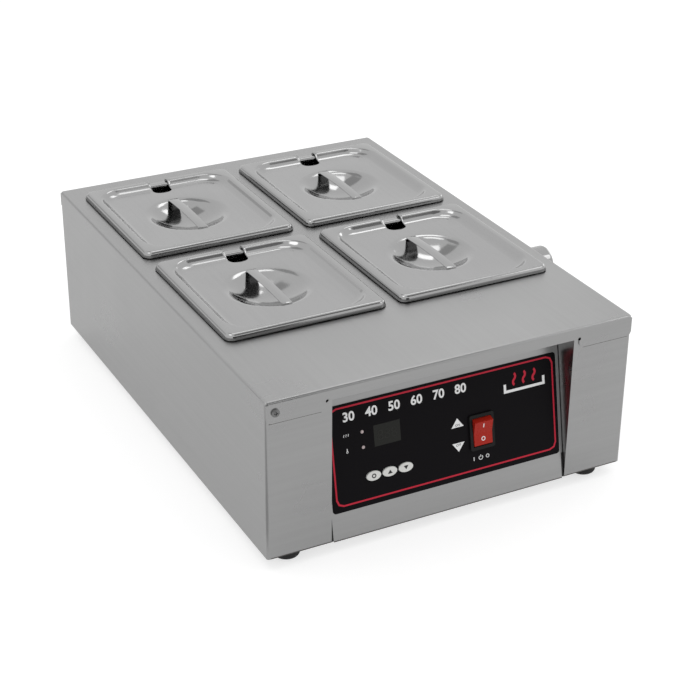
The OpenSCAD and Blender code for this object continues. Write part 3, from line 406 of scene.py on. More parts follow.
moulded("film_black", (0.0046, 0.0039, 0.0049), 0.42, specular=0.06, depth=0.000004)
moulded("ink_red", (0.50, 0.019, 0.042), 0.45, specular=0.15, spread=0.05)
moulded("ink_white", (0.78, 0.78, 0.78), 0.45, specular=0.15, spread=0.03)
moulded("ink_dark", (0.025, 0.025, 0.027), 0.5, specular=0.2)
moulded("window_dark", (0.014, 0.0145, 0.0125), 0.14, specular=0.16, depth=0.000002)
moulded("segment_grey", (0.022, 0.022, 0.02), 0.3, specular=0.1)
moulded("module_pale", (0.62, 0.60, 0.52), 0.55)
moulded("board_green", (0.02, 0.12, 0.05), 0.35, speck=220.0, spread=0.4)
moulded("lamp_red", (0.46, 0.38, 0.38), 0.3, spread=0.05)
moulded("key_white", (0.66, 0.66, 0.64), 0.38, spread=0.04)
moulded("plastic_black", (0.010, 0.010, 0.010), 0.38, specular=0.14)
moulded("rocker_red", (0.35, 0.015, 0.007), 0.3, specular=0.18, spread=0.06)
moulded("phenolic_brown", (0.10, 0.05, 0.03), 0.45, speck=300.0, spread=0.3)
# rubber_black also makes the bars of painted shade in the panel's joints, further down.
moulded("rubber_black", (0.018,) * 3, 0.6, specular=0.25, speck=500.0, spread=0.3, depth=0.00003)
print("finishes:", len(finishes))

# %% [markdown]
# The housing, its fittings and all that is inside are right as the CAD has them. They could be
# modelled anew, but they would gain nothing, so these nodes keep their meshes and only get
# finishes. The record says which material slot each node has, and a slot has a finish of the same
# name. Two nodes have a finish of their own: the screw at the flange, which looks duller than the
# rest, and the safety cut-out, whose body is a brown phenolic plastic.

# %% Finish the CAD nodes
OWN_FINISH = {"flange_screw": "screw_dull", "limit_thermostat": "phenolic_brown"}
slot_of = {part["node"]: part["material_slot"] for part in frame["record"]["subparts"]}
for name, node in nodes.items():
    finish = finishes[OWN_FINISH.get(name, slot_of[name])]
    if not node.material_slots:
        node.data.materials.append(finish)
    for place in node.material_slots:
        place.material = finish
print("finished", len(nodes), "nodes")

# %% [markdown]
# A new piece is drawn with bmesh operators. It could be drawn at the origin and moved as an object,
# but patterns in Object coordinates would then start anew on each piece. So its place goes into its
# mesh, as a CAD node's does. It rides on a body, gets a finish by name and may stand for a CAD
# node.

# %% Helper for pieces
SHARP_ANGLE = math.radians(32.0)


def piece(name, bm, finish, body, stands_for=()):
    """Makes an object of a bmesh, rides it on a body and gives it a finish."""
    mesh = bpy.data.meshes.new(name)
    bm.to_mesh(mesh)
    bm.free()
    mesh.shade_smooth()
    mesh.set_sharp_from_angle(angle=SHARP_ANGLE)
    mesh.materials.append(finishes[finish])
    made = bpy.data.objects.new(name, mesh)
    scene.collection.objects.link(made)
    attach(made, body)
    if stands_for:
        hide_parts(*stands_for)
    return made


print("pieces are smooth up to", round(math.degrees(SHARP_ANGLE)), "degrees")

# %% [markdown]
# Pans and lids are pressed from thin sheet. A subdivided cage would give soft forms but no exact
# radii. A pressing is a stack of rounded rectangles, each a little further in and down, so it is
# drawn that way: rings, bridged one to the next, with the loops at the folds bevelled. A ring is
# one square face whose corners are rounded by a vertex bevel.

# %% Rings and folds
CORNER_STEPS = 15
RING_EDGES = 4 * (CORNER_STEPS + 1)
RING_STEP = 0.05


def ring(bm, width, depth, radius, height, steps=CORNER_STEPS):
    """A rounded rectangle round the origin at a height, drawn before any bridge."""
    verts = bmesh.ops.create_grid(bm, x_segments=1, y_segments=1, size=0.5)["verts"]
    bmesh.ops.scale(bm, verts=verts, vec=(width, depth, 1))
    bmesh.ops.translate(bm, verts=verts, vec=(0, 0, height))
    bmesh.ops.bevel(
        bm, geom=verts, affect="VERTICES", offset=radius, segments=steps, profile=0.5, material=-1
    )
    outline = bm.faces[:]
    edges = outline[0].edges[:]
    bmesh.ops.delete(bm, geom=outline, context="FACES_ONLY")
    return edges


def circle(bm, radius, height):
    """A round ring of as many edges."""
    verts = bmesh.ops.create_circle(bm, segments=RING_EDGES, radius=radius)["verts"]
    bmesh.ops.translate(bm, verts=verts, vec=(0, 0, height))
    return list({edge for vert in verts for edge in vert.link_edges})


def join_rings(bm, rings):
    """Bridges each ring to the next. Meanwhile they are set apart, or flat ones would be crossed."""
    heights = []
    for step, edges in enumerate(rings):
        for vert in {v for e in edges for v in e.verts}:
            heights.append((vert, vert.co.z))
            vert.co.z = -step * RING_STEP
    for outer, inner in zip(rings, rings[1:]):
        bmesh.ops.bridge_loops(bm, edges=outer + inner)
    for vert, height in heights:
        vert.co.z = height


def fold(bm, edges, radius, steps=4):
    """Rounds a loop of edges as a press would."""
    bmesh.ops.bevel(
        bm, geom=edges, affect="EDGES", offset=radius, segments=steps, profile=0.5, material=-1
    )


print("rings of", RING_EDGES, "edges")

# %% [markdown]
# Each pressing is drawn as its upper face alone, and a Solidify modifier gives it the sheet's
# thickness downwards. Drawing both faces would be twice the work, and their folds would have to
# match. The modifier needs to know which side is up, so one face, picked by its height, settles
# which way all of them look.

# %% Helpers for sheet
def face_up(bm, pick):
    """Turns all faces one way round, so that the highest (max) or lowest (min) one looks up."""
    bmesh.ops.recalc_face_normals(bm, faces=bm.faces)
    chosen = pick(bm.faces, key=lambda f: f.calc_center_median().z)
    if chosen.normal.z < 0:
        bmesh.ops.reverse_faces(bm, faces=bm.faces)


def bright_sheet(name, bm, body, node, thickness):
    """A piece of bright sheet that stands for a CAD node, drawn as its upper face."""
    made = piece(name, bm, "steel_bright", body, [node])
    wall = made.modifiers.new("sheet", "SOLIDIFY")
    wall.thickness = thickness
    wall.offset = -1.0
    return made


SHEET = 0.8 * MM
WELLS = ("front_left", "front_right", "rear_left", "rear_right")
print("sheet of", round(SHEET / MM, 1), "mm for the wells", ", ".join(WELLS))

# %% [markdown]
# Each lid has a rim, a turned-down edge, a sunken panel with soft slopes and a round finger dish.
# The dish could be a sphere cut out of the panel, but a boolean leaves long thin faces at its brim,
# which shine unevenly. Rings that follow a bowl keep the faces even all the way to its bottom.

# %% Lid pressing
SKIRT, RIM, RECESS, SLOPE = 5.6 * MM, 9.5 * MM, 5.8 * MM, 5.4 * MM
LID_LEAN, LID_CORNER, RECESS_CORNER = 2.6 * MM, 9.0 * MM, 27.0 * MM
EDGE_FOLD, UPPER_FOLD, LOWER_FOLD, DISH_FOLD = 2.2 * MM, 1.6 * MM, 4.6 * MM, 4.6 * MM
FOLD_STEPS = 6
DISH_RADIUS, DISH_DEPTH, DISH_RINGS = 40.0 * MM, 14.0 * MM, 8


def lid_sheet(width, depth, top):
    """The lid's upper face as one open sheet round the origin."""
    bm = bmesh.new()
    panel = top - RECESS
    inset = 2 * (RIM + SLOPE)
    edge = ring(bm, width, depth, LID_CORNER, top - SKIRT)
    shoulder = ring(bm, width - 2 * LID_LEAN, depth - 2 * LID_LEAN, LID_CORNER - LID_LEAN, top)
    brow = ring(bm, width - 2 * RIM, depth - 2 * RIM, RECESS_CORNER, top)
    foot = ring(bm, width - inset, depth - inset, RECESS_CORNER - SLOPE, panel)
    bowl = (DISH_RADIUS**2 + DISH_DEPTH**2) / (2 * DISH_DEPTH)
    dish = []
    for step in range(DISH_RINGS):
        radius = DISH_RADIUS * (1 - step / DISH_RINGS)
        dish.append(circle(bm, radius, panel - DISH_DEPTH + bowl - math.sqrt(bowl**2 - radius**2)))
    join_rings(bm, [edge, shoulder, brow, foot, *dish])
    bmesh.ops.contextual_create(bm, geom=dish[-1])
    folds = ((shoulder, EDGE_FOLD), (brow, UPPER_FOLD), (foot, LOWER_FOLD), (dish[0], DISH_FOLD))
    for loop, radius in folds:
        fold(bm, loop, radius, FOLD_STEPS)
    face_up(bm, max)
    return bm


print("dish of", round(DISH_RADIUS / MM), "mm radius,", round(DISH_DEPTH / MM), "mm deep")

# %% [markdown]
# A notch at the back of each lid lets a ladle's handle through. A boolean could punch it. Bisecting
# the sheet along the notch's outline and deleting what lies inside leaves a clean cut, and it works
# on a sheet that has no thickness yet.

# %% Lids with their notch
NOTCH_HALF, NOTCH_LONG, NOTCH_CORNER = 10.0 * MM, 26.2 * MM, 7.0 * MM
NOTCH_STEPS = 5
CUT_DIST = 1e-7
LID_OVER, LID_BACK, LID_DROP = 0.3 * MM, 1.4 * MM, 2.2 * MM


def cut_notch(bm, back_edge):
    """Cuts the ladle notch out of the lid's back edge with planes along its outline."""
    front = back_edge - NOTCH_LONG
    planes = [(Vector((0, front, 0)), Vector((0, -1, 0)))]
    for side in (-1, 1):
        planes.append((Vector((side * NOTCH_HALF, 0, 0)), Vector((side, 0, 0))))
        middle = Vector((side * (NOTCH_HALF - NOTCH_CORNER), front + NOTCH_CORNER, 0))
        for step in range(1, NOTCH_STEPS):
            angle = math.pi / 2 * step / NOTCH_STEPS
            out = Vector((side * math.sin(angle), -math.cos(angle), 0))
            planes.append((middle + out * NOTCH_CORNER, out))
    reach = front - NOTCH_CORNER
    for point, out in planes:
        near = [f for f in bm.faces if max(v.co.y for v in f.verts) > reach]
        edges = list({e for f in near for e in f.edges})
        verts = list({v for f in near for v in f.verts})
        bmesh.ops.bisect_plane(
            bm, geom=near + edges + verts, plane_co=point, plane_no=out, dist=CUT_DIST
        )
    inside = [
        f for f in bm.faces
        if all((f.calc_center_median() - point).dot(out) < 0 for point, out in planes)
    ]
    bmesh.ops.delete(bm, geom=inside, context="FACES")


for well in WELLS:
    low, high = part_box("pan_" + well)
    low -= Vector((LID_OVER, LID_OVER, 0))
    high += Vector((LID_OVER, LID_BACK, 0))
    bm = lid_sheet(high.x - low.x, high.y - low.y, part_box("lid_" + well)[1].z - LID_DROP)
    cut_notch(bm, (high.y - low.y) / 2)
    bmesh.ops.translate(bm, verts=bm.verts, vec=((low.x + high.x) / 2, (low.y + high.y) / 2, 0))
    count = len(bm.faces)
    bright_sheet("lid_pressing_" + well, bm, "lid_" + well, "lid_" + well, SHEET)
print("lids of", count, "faces")

# %% [markdown]
# A strip across the dish is the lid's handle, a flat bar with a slight arch. A bar could be bent by
# a modifier, whose axis and origin take care to set. One edge, spun by a few degrees about a far
# axis, gives the arch directly, and modifiers give it its thickness and its rounded edges.

# %% Strip handles
STRIP_WIDTH, STRIP_THICK, STRIP_RISE = 10.6 * MM, 0.7 * MM, 1.5 * MM
STRIP_STEPS = 24
STRIP_EDGE, STRIP_EDGE_STEPS = 0.25 * MM, 2

for well in WELLS:
    low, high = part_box("lid_handle_" + well)
    middle = (low + high) / 2
    half = (high.y - low.y) / 2
    sweep = (half**2 + STRIP_RISE**2) / (2 * STRIP_RISE)
    angle = 2 * math.asin(half / sweep)
    bm = bmesh.new()
    seat = low.z + STRIP_THICK
    ends = [bm.verts.new((middle.x + side * STRIP_WIDTH / 2, low.y, seat)) for side in (-1, 1)]
    first = bm.edges.new(ends)
    axis_at = (middle.x, middle.y, seat + STRIP_RISE - sweep)
    bmesh.ops.spin(
        bm, geom=[first, *ends], cent=axis_at, axis=(-1, 0, 0), angle=angle, steps=STRIP_STEPS
    )
    face_up(bm, max)
    strip = bright_sheet("lid_strip_" + well, bm, "lid_" + well, "lid_handle_" + well, STRIP_THICK)
    soft = strip.modifiers.new("edges", "BEVEL")
    soft.width = STRIP_EDGE
    soft.segments = STRIP_EDGE_STEPS
print("strip handles, arch", round(math.degrees(angle), 1), "degrees")

# %% [markdown]
# The pan under each lid hangs by a flat rim whose edge curls under. Only that edge shows while the
# lid is on, as a light line with a dark gap below it. The walls lean in a little, so that pans can
# be stacked and lifted out. A cube could be inset and scaled for this, but rings are kinder to the
# round corners, as on the lids.

# %% Pans
PAN_RIM, PAN_LIP, PAN_CURL, PAN_UNDER = 10.0 * MM, 2.2 * MM, 0.9 * MM, 2.6 * MM
PAN_CORNER, PAN_WALL_CORNER, PAN_LEAN = 7.0 * MM, 27.0 * MM, 5.0 * MM
BELLY_FOLD, RIM_FOLD, BROW_FOLD = 0.4 * MM, 0.6 * MM, 1.8 * MM
FLOOR_FOLD, FLOOR_MARGIN, FLOOR_SHARE = 11.0 * MM, 1.0 * MM, 0.9


def pan_sheet(width, depth, top, bottom):
    """The pan's inner face as one open sheet round the origin, from its hem to its floor."""
    bm = bmesh.new()
    wall = PAN_RIM + PAN_LEAN
    corner = PAN_WALL_CORNER - PAN_LEAN
    rings = []
    for inset, radius, height in (
        (PAN_UNDER + PAN_CURL, PAN_CORNER - PAN_CURL, top - PAN_LIP),
        (PAN_UNDER, PAN_CORNER, top - PAN_LIP / 2),
        (PAN_UNDER, PAN_CORNER, top),
        (PAN_RIM, PAN_WALL_CORNER, top),
        (wall, corner, bottom),
        (wall + FLOOR_FOLD + FLOOR_MARGIN, corner - FLOOR_FOLD, bottom),
    ):
        rings.append(ring(bm, width - 2 * inset, depth - 2 * inset, radius, height))
    join_rings(bm, rings)
    belly, edge, brow, base, middle = rings[1:]
    bmesh.ops.contextual_create(bm, geom=middle)
    for loop, radius in ((belly, BELLY_FOLD), (edge, RIM_FOLD), (brow, BROW_FOLD)):
        fold(bm, loop, radius)
    fold(bm, base, FLOOR_FOLD * FLOOR_SHARE, FOLD_STEPS)
    face_up(bm, min)
    return bm


for well in WELLS:
    low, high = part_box("pan_" + well)
    width, depth = high.x - low.x, high.y - low.y
    bm = pan_sheet(width, depth, high.z, low.z + SHEET)
    bmesh.ops.translate(bm, verts=bm.verts, vec=((low.x + high.x) / 2, (low.y + high.y) / 2, 0))
    bright_sheet("pan_pressing_" + well, bm, "pan_" + well, "pan_" + well, SHEET)
print("pans", round(width / MM), "by", round(depth / MM), "mm")

# %% [markdown]
# The panel leans back between the front strips and carries a printed film. Print could be an image
# on the film, but it would blur close by. So each sign is a thin mesh, drawn flat by its place
# across and up the panel, and one matrix stands it there. Ink has a thickness of its own here,
# so that it stays clear of the film in the exported meshes too. The first is the red line round the
# film, with its cut corners.

# %% Red border
PANEL_TILT = math.radians(11.0)
FLANGE_PROUD = 1.0 * MM
FILM, INK, INK_GAP = 0.5 * MM, 0.05 * MM, 0.02 * MM
MERGE_DIST = 1e-7
BORDER_LEFT, BORDER_RIGHT, BORDER_LOW, BORDER_HIGH = -114.8 * MM, 115.4 * MM, 31.0 * MM, 123.2 * MM
BORDER_LINE, BORDER_CORNER, BORDER_STEPS = 1.6 * MM, 7.0 * MM, 2
panel_foot = Vector((0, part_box("housing_shell")[0].y + FLANGE_PROUD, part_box("base_plate")[0].z))
ON_PANEL = Matrix.Translation(panel_foot) @ Matrix.Rotation(math.pi / 2 - PANEL_TILT, 4, "X")


def raise_faces(bm, height):
    """Extrudes a flat drawing upwards, keeps its underside and returns the upper vertices."""
    raised = bmesh.ops.extrude_face_region(bm, geom=bm.faces[:], use_keep_orig=True)["geom"]
    upper = [v for v in raised if isinstance(v, bmesh.types.BMVert)]
    bmesh.ops.translate(bm, verts=upper, vec=(0, 0, height))
    return upper


def print_on(name, bm, finish, place=ON_PANEL, body="housing", lift=FILM):
    """Gives a flat drawing the thickness of ink and sets it on a face."""
    bmesh.ops.remove_doubles(bm, verts=bm.verts, dist=MERGE_DIST)
    bmesh.ops.recalc_face_normals(bm, faces=bm.faces)
    for face in bm.faces:
        if face.normal.z < 0:
            face.normal_flip()
    raise_faces(bm, INK)
    bmesh.ops.recalc_face_normals(bm, faces=bm.faces)
    onto = place @ Matrix.Translation((0, 0, lift + INK_GAP))
    bmesh.ops.transform(bm, verts=bm.verts, matrix=onto)
    return piece(name, bm, finish, body)


bm = bmesh.new()
width, height = BORDER_RIGHT - BORDER_LEFT, BORDER_HIGH - BORDER_LOW
outer = ring(bm, width, height, BORDER_CORNER, 0.0, BORDER_STEPS)
inner_corner = BORDER_CORNER - BORDER_LINE * (2 - math.sqrt(2))
inner = ring(bm, width - 2 * BORDER_LINE, height - 2 * BORDER_LINE, inner_corner, 0.0, BORDER_STEPS)
join_rings(bm, [outer, inner])
middle = ((BORDER_LEFT + BORDER_RIGHT) / 2, (BORDER_LOW + BORDER_HIGH) / 2, 0)
bmesh.ops.translate(bm, verts=bm.verts, vec=middle)
print_on("print_border", bm, "ink_red")
foot_mm = [round(v / MM, 1) for v in panel_foot]
print("panel leans", round(math.degrees(PANEL_TILT)), "degrees from", foot_mm)

# %% [markdown]
# A row of bold numbers across the top of the film is a plain temperature scale. Numbers could be
# drawn stroke by stroke, but Blender's Text has good shapes ready. Text is made a mesh first and
# then placed like the rest, because it can't be joined to a bmesh as it is.

# %% Temperature scale
CAPITAL_SHARE = 0.7
LETTER_STEPS = 3
SCALE_LOW, SCALE_STEP, SCALE_COUNT = 30, 10, 6
SCALE_AT, SCALE_PITCH = (-96.0 * MM, 113.2 * MM), 22.6 * MM
SCALE_TALL, SCALE_BOLD = 8.4 * MM, 0.32 * MM


def lettering(bm, words, height, x, y, bold=0.0):
    """Flat letters centred at a place on the panel, added to a drawing."""
    curve = bpy.data.curves.new("words", "FONT")
    curve.body = words
    curve.size = height / CAPITAL_SHARE
    curve.offset = bold
    curve.resolution_u = LETTER_STEPS
    curve.align_x = "CENTER"
    carrier = bpy.data.objects.new("words", curve)
    flat = bpy.data.meshes.new_from_object(carrier)
    flat.transform(Matrix.Translation((x, y - height / 2, 0)))
    bm.from_mesh(flat)
    for item, kind in ((carrier, bpy.data.objects), (curve, bpy.data.curves), (flat, bpy.data.meshes)):
        kind.remove(item)


bm = bmesh.new()
for step in range(SCALE_COUNT):
    number = str(SCALE_LOW + SCALE_STEP * step)
    lettering(bm, number, SCALE_TALL, SCALE_AT[0] + SCALE_PITCH * step, SCALE_AT[1], SCALE_BOLD)
print_on("print_scale", bm, "ink_white")
print("scale of", SCALE_COUNT, "numbers, the last", number)

# %% [markdown]
# Two white arrows beside the switch carry ON and OFF in small dark letters. The words could be
# holes in the arrows, which takes a boolean. A second layer of ink on top of the first is simpler,
# and it is how a film is printed. A circle of three segments is a triangle, so it makes the arrows.

# %% Arrows with ON and OFF
ARROW_SIZE = (12.8 * MM, 8.6 * MM)
WORD_TALL = 2.2 * MM
# Each arrow: its word, the place across and up the panel, and the word's own place up.
ARROWS = (("ON", 11.6 * MM, 81.4 * MM, 79.2 * MM), ("OFF", 11.4 * MM, 57.8 * MM, 60.0 * MM))


def arrow(bm, width, height, x, y, up=True):
    """A filled triangle that points up or down."""
    verts = bmesh.ops.create_circle(bm, segments=3, radius=1.0, cap_ends=True)["verts"]
    wide = max(v.co.x for v in verts) - min(v.co.x for v in verts)
    tall = max(v.co.y for v in verts) - min(v.co.y for v in verts)
    lowest = min(v.co.y for v in verts)
    bmesh.ops.translate(bm, verts=verts, vec=(0, -lowest - tall / 2, 0))
    points_up = sum(v.co.y > 0 for v in verts) == 1
    flip = 1 if points_up == up else -1
    bmesh.ops.scale(bm, verts=verts, vec=(width / wide, flip * height / tall, 1))
    bmesh.ops.translate(bm, verts=verts, vec=(x, y, 0))


arrows, words = bmesh.new(), bmesh.new()
for word, x, y, word_y in ARROWS:
    arrow(arrows, *ARROW_SIZE, x, y, up=word == "ON")
    lettering(words, word, WORD_TALL, x, word_y)
print_on("print_arrows", arrows, "ink_white")
print_on("print_on_off", words, "ink_dark", lift=FILM + INK + INK_GAP)
print("arrows printed:", len(ARROWS))

# %% [markdown]
# At the film's right end a plain sign shows heat that rises over a tray. It could be traced as a
# curve, but bars make the tray, and a wave is two arcs, each an edge that is spun about its centre.

# %% Heat sign
WAVE_LEAN, WAVE_STEPS = math.radians(50.0), 8
TRAY_AT = (84.0 * MM, 98.6 * MM)
TRAY_LONG, TRAY_TALL, TRAY_LINE = 44.0 * MM, 6.0 * MM, 2.6 * MM
HEAT_RADIUS, HEAT_LINE, HEAT_PITCH, HEAT_UP = 3.6 * MM, 2.2 * MM, 10.5 * MM, 5.0 * MM


def bar(bm, width, height, x, y):
    """A filled rectangle."""
    verts = bmesh.ops.create_grid(bm, x_segments=1, y_segments=1, size=0.5)["verts"]
    bmesh.ops.scale(bm, verts=verts, vec=(width, height, 1))
    bmesh.ops.translate(bm, verts=verts, vec=(x, y, 0))


def wave(bm, radius, width, x, y):
    """A sign for rising heat: two arcs, one each way, upwards from x, y."""
    start = Vector((x, y, 0))
    across = Vector((math.cos(WAVE_LEAN), math.sin(WAVE_LEAN), 0))
    ends = [bm.verts.new(start + across * side * width / 2) for side in (-1, 1)]
    edge = bm.edges.new(ends)
    turn = 2 * WAVE_LEAN
    about = start + across * radius
    lower = bmesh.ops.spin(
        bm, geom=[edge, *ends], cent=about, axis=(0, 0, 1), angle=-turn, steps=WAVE_STEPS
    )
    across.y = -across.y
    about = start + Vector((0, 2 * radius * math.sin(WAVE_LEAN), 0)) - across * radius
    bmesh.ops.spin(
        bm, geom=lower["geom_last"], cent=about, axis=(0, 0, 1), angle=turn, steps=WAVE_STEPS
    )


bm = bmesh.new()
bar(bm, TRAY_LONG, TRAY_LINE, *TRAY_AT)
for side in (-1, 1):
    end = TRAY_AT[0] + side * (TRAY_LONG - TRAY_LINE) / 2
    bar(bm, TRAY_LINE, TRAY_TALL, end, TRAY_AT[1] + (TRAY_LINE + TRAY_TALL) / 2)
print_on("print_tray", bm, "ink_white")
bm = bmesh.new()
for step in (-1, 0, 1):
    wave(bm, HEAT_RADIUS, HEAT_LINE, TRAY_AT[0] + step * HEAT_PITCH, TRAY_AT[1] + HEAT_UP)
print_on("print_heat", bm, "ink_red")
print("heat sign", round(TRAY_LONG / MM), "mm wide")

# %% [markdown]
# Beside the two lamps stand a small heat sign and a thermometer, and below the switch its own three
# signs. They are only a few millimetres tall, so bars, waves and hoops are enough. A hoop is an
# edge that is spun round, all the way or with a gap at its top.

# %% Lamp and switch signs
HOOP_STEPS = 32
LAMP_WAVES_AT, LAMP_WAVE_PITCH = (-102.0 * MM, 94.9 * MM), 2.2 * MM
LAMP_WAVE_COUNT, LAMP_WAVE_SIZE = 3, (0.75 * MM, 0.5 * MM)
STEM_SIZE, STEM_AT = (0.7 * MM, 2.2 * MM), (-99.8 * MM, 82.7 * MM)
BULB_SIZE, BULB_AT = (1.0 * MM, 0.5 * MM), (-99.8 * MM, 80.6 * MM)
SWITCH_SIGN, SIGN_LINE = 42.6 * MM, 0.6 * MM
POWER_X, POWER_RADIUS, POWER_GAP = 33.8 * MM, 2.3 * MM, 1.3
POWER_STEM, POWER_STEM_UP = 2.4 * MM, 1.5 * MM
ON_X, ON_SIZE = 26.6 * MM, (0.7 * MM, 3.6 * MM)
OFF_X, OFF_RADIUS = 41.0 * MM, 1.8 * MM


def hoop(bm, radius, width, x, y, gap=0.0):
    """A ring of a line's width, closed or with a gap at its top."""
    start = math.pi / 2 + gap / 2
    across = Vector((math.cos(start), math.sin(start), 0))
    middle = Vector((x, y, 0))
    ends = [bm.verts.new(middle + across * r) for r in (radius, radius - width)]
    edge = bm.edges.new(ends)
    turn = math.tau - gap
    bmesh.ops.spin(bm, geom=[edge, *ends], cent=middle, axis=(0, 0, 1), angle=turn, steps=HOOP_STEPS)


bm = bmesh.new()
for step in range(LAMP_WAVE_COUNT):
    wave(bm, *LAMP_WAVE_SIZE, LAMP_WAVES_AT[0] + LAMP_WAVE_PITCH * step, LAMP_WAVES_AT[1])
bar(bm, *STEM_SIZE, *STEM_AT)
hoop(bm, *BULB_SIZE, *BULB_AT)
print_on("print_lamp_signs", bm, "ink_white")

bm = bmesh.new()
hoop(bm, POWER_RADIUS, SIGN_LINE, POWER_X, SWITCH_SIGN, gap=POWER_GAP)
bar(bm, SIGN_LINE, POWER_STEM, POWER_X, SWITCH_SIGN + POWER_STEM_UP)
bar(bm, *ON_SIZE, ON_X, SWITCH_SIGN)
hoop(bm, OFF_RADIUS, SIGN_LINE, OFF_X, SWITCH_SIGN)
print_on("print_switch_signs", bm, "ink_white")
print("small signs printed")

# %% [markdown]
# Below the film a dark line of shade shows beside the panel, where it meets the front strips. A groove
# could be cut there, but the solids already meet, so a thin black bar along each of the panel's
# edges gives the line as painted shade.

# %% Painted shade in the panel's joints
SEAM, SEAM_LONG, SEAM_UP = 1.6 * MM, 24.0 * MM, 1.4 * MM
low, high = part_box("control_panel")
bm = bmesh.new()
for edge in (low.x + SEAM / 2, high.x - SEAM / 2):
    bar(bm, SEAM, SEAM_LONG, edge, SEAM_LONG / 2 + SEAM_UP)
# The bars are painted shade in the gap, in the black of rubber.
print_on("panel_joint_painted_shade", bm, "rubber_black", lift=0.0)
print("seams at", round(low.x / MM, 1), "and", round(high.x / MM, 1), "mm")

# %% [markdown]
# The deck's front flange laps the strips at both ends, and a fine dark line of shadow lies under its
# edge, where one sheet ends on the other. A gap that narrow would need a very sharp shadow to show.
# So a thin dark bar on the strip is painted shadow. It starts behind the flange's edge, which hides a
# part of it from above.

# %% Painted shadow under the lapped ends
LAP_SHADOW_LINE, LAP_LOW = 1.0 * MM, 20.5 * MM
LAP_FROM, LAP_TO = 132.5 * MM, 181.5 * MM
deck_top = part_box("housing_shell")[1].z
UPRIGHT = Matrix.Translation((0, panel_foot.y, deck_top)) @ Matrix.Rotation(math.pi / 2, 4, "X")
bm = bmesh.new()
for side in (-1, 1):
    bar(bm, LAP_TO - LAP_FROM, LAP_SHADOW_LINE, side * (LAP_FROM + LAP_TO) / 2, -LAP_LOW - LAP_SHADOW_LINE / 2)
# A dark bar of painted shadow under each end of the flange.
print_on("flange_lap_painted_shadow", bm, "steel_dark", UPRIGHT, lift=0.0)
print("laps", round(LAP_LOW / MM, 1), "mm below the deck")

# %% [markdown]
# Along the bottom of the front the sheets end on the base, and a dark line of shade lies in the gap
# there. That could be painted into the steel by height, but every other sheet would get the line
# too. So it is one more fine line of painted shade: two bars on the strips and one on the panel's
# foot.

# %% Painted shade along the foot
FOOT_SHADE_LINE = 1.0 * MM
foot_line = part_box("housing_shell")[0].z - deck_top + FOOT_SHADE_LINE / 2
low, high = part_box("control_panel")
bm = bmesh.new()
for side in (-1, 1):
    bar(bm, LAP_TO - high.x, FOOT_SHADE_LINE, side * (high.x + LAP_TO) / 2, foot_line)
# Bars of painted shade along the foot of the strips and the panel.
print_on("strip_base_painted_shade", bm, "steel_dark", UPRIGHT, lift=0.0)
bm = bmesh.new()
bar(bm, high.x - low.x - 2 * SEAM, FOOT_SHADE_LINE, 0.0, FOOT_SHADE_LINE / 2)
print_on("panel_base_painted_shade", bm, "steel_dark", lift=0.0)
print("edges at", round((deck_top + foot_line) / MM, 1), "mm")

# %% [markdown]
# The keys are white oval caps with a soft edge. A squashed sphere would be too round on top, so a
# flat oval is extruded and the loop round its top is bevelled. Each key carries its mark with it
# when it is pressed, so both ride on the key's own body.

# %% Key caps and their marks
KEY_OUT, KEY_SINK, KEY_EDGE = 1.4 * MM, 0.4 * MM, 0.5 * MM
KEY_SIZE, KEY_STEPS = (14.6 * MM, 9.0 * MM), 64
KEYS_AT = {"key_set": -76.2 * MM, "key_up": -60.0 * MM, "key_down": -43.8 * MM}
KEYS_UP = 52.7 * MM
SET_MARK, ARROW_MARK = (2.2 * MM, 1.0 * MM), (4.8 * MM, 3.6 * MM)

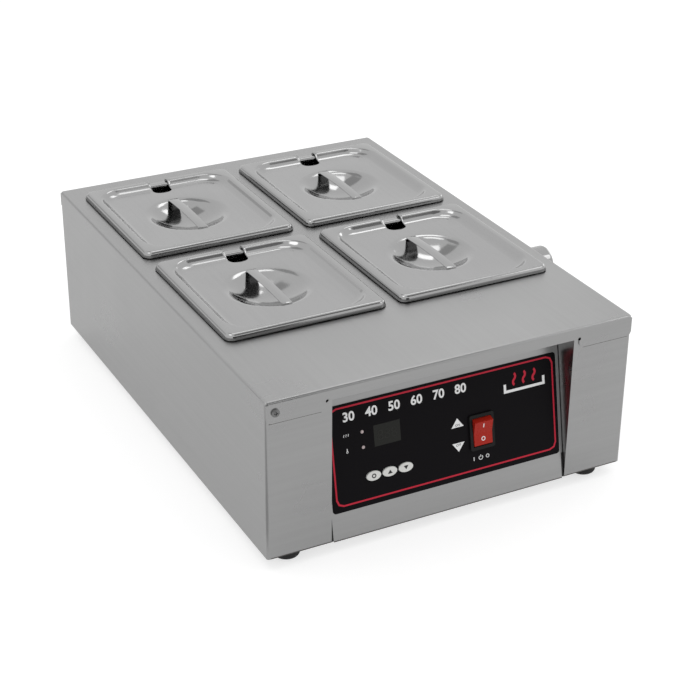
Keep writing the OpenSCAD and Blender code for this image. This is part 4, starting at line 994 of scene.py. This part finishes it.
for key, x in KEYS_AT.items():
    bm = bmesh.new()
    oval = bmesh.ops.create_circle(bm, cap_ends=True, segments=KEY_STEPS, radius=0.5)["verts"]
    bmesh.ops.scale(bm, verts=oval, vec=(*KEY_SIZE, 1))
    upper = raise_faces(bm, KEY_OUT + KEY_SINK)
    brim = [e for e in bm.edges if all(v in upper for v in e.verts)]
    fold(bm, brim, KEY_EDGE)
    bmesh.ops.recalc_face_normals(bm, faces=bm.faces)
    place = ON_PANEL @ Matrix.Translation((x, KEYS_UP, -KEY_SINK))
    bmesh.ops.transform(bm, verts=bm.verts, matrix=place)
    piece("cap_" + key, bm, "key_white", key, [key])
    bm = bmesh.new()
    if key == "key_set":
        hoop(bm, *SET_MARK, x, KEYS_UP)
    else:
        arrow(bm, *ARROW_MARK, x, KEYS_UP, up=key == "key_up")
    print_on("mark_" + key, bm, "ink_dark", body=key, lift=KEY_OUT)
print("keys:", ", ".join(KEYS_AT))

# %% [markdown]
# The red switch has a bar for on and a hoop for off. They lie on its two slanting faces, whose
# place and slope could be copied from the CAD by hand. A ray cast onto the paddle finds them
# instead, and still does so when the paddle changes. The marks ride on the rocker's body and tilt
# with it.

# %% Switch marks
SWITCH_AT, MARK_UP, RAY_FROM = (36.0 * MM, 68.0 * MM), 6.6 * MM, 40.0 * MM
ON_MARK, OFF_MARK = (0.9 * MM, 4.2 * MM), (2.1 * MM, 0.8 * MM)
paddle = nodes["rocker_paddle"]
to_node = paddle.matrix_world.inverted()
into = to_node.to_3x3() @ (ON_PANEL.to_3x3() @ Vector((0, 0, -1)))
for mark, up in (("on", MARK_UP), ("off", -MARK_UP)):
    start = to_node @ (ON_PANEL @ Vector((SWITCH_AT[0], SWITCH_AT[1] + up, RAY_FROM)))
    _, point, normal, _ = paddle.ray_cast(start, into)
    normal = (paddle.matrix_world.to_3x3() @ normal).normalized()
    across = Vector((1, 0, 0))
    slope = Matrix((across, normal.cross(across), normal)).transposed().to_4x4()
    bm = bmesh.new()
    if mark == "on":
        bar(bm, *ON_MARK, 0, 0)
    else:
        hoop(bm, *OFF_MARK, 0, 0)
    place = Matrix.Translation(paddle.matrix_world @ point) @ slope
    print_on("mark_switch_" + mark, bm, "ink_white", place, "rocker", 0.0)
    print("mark", mark, "slopes", round(math.degrees(normal.angle(-into)), 1), "degrees")

# %% [markdown]
# The display is off. Behind its smoked window the unlit digits can just be made out. A see-through
# window would need the digits modelled behind it, at the cost of noise in a dark place. So they are
# printed on the window in a grey that is only a shade lighter.

# %% Unlit digits
DIGIT_TALL, DIGITS_AT = 9.5 * MM, (-59.5 * MM, 89.0 * MM)
bm = bmesh.new()
lettering(bm, "888", DIGIT_TALL, *DIGITS_AT)
print_on("display_digits", bm, "segment_grey")
print("digits", round(DIGIT_TALL / MM, 1), "mm tall")
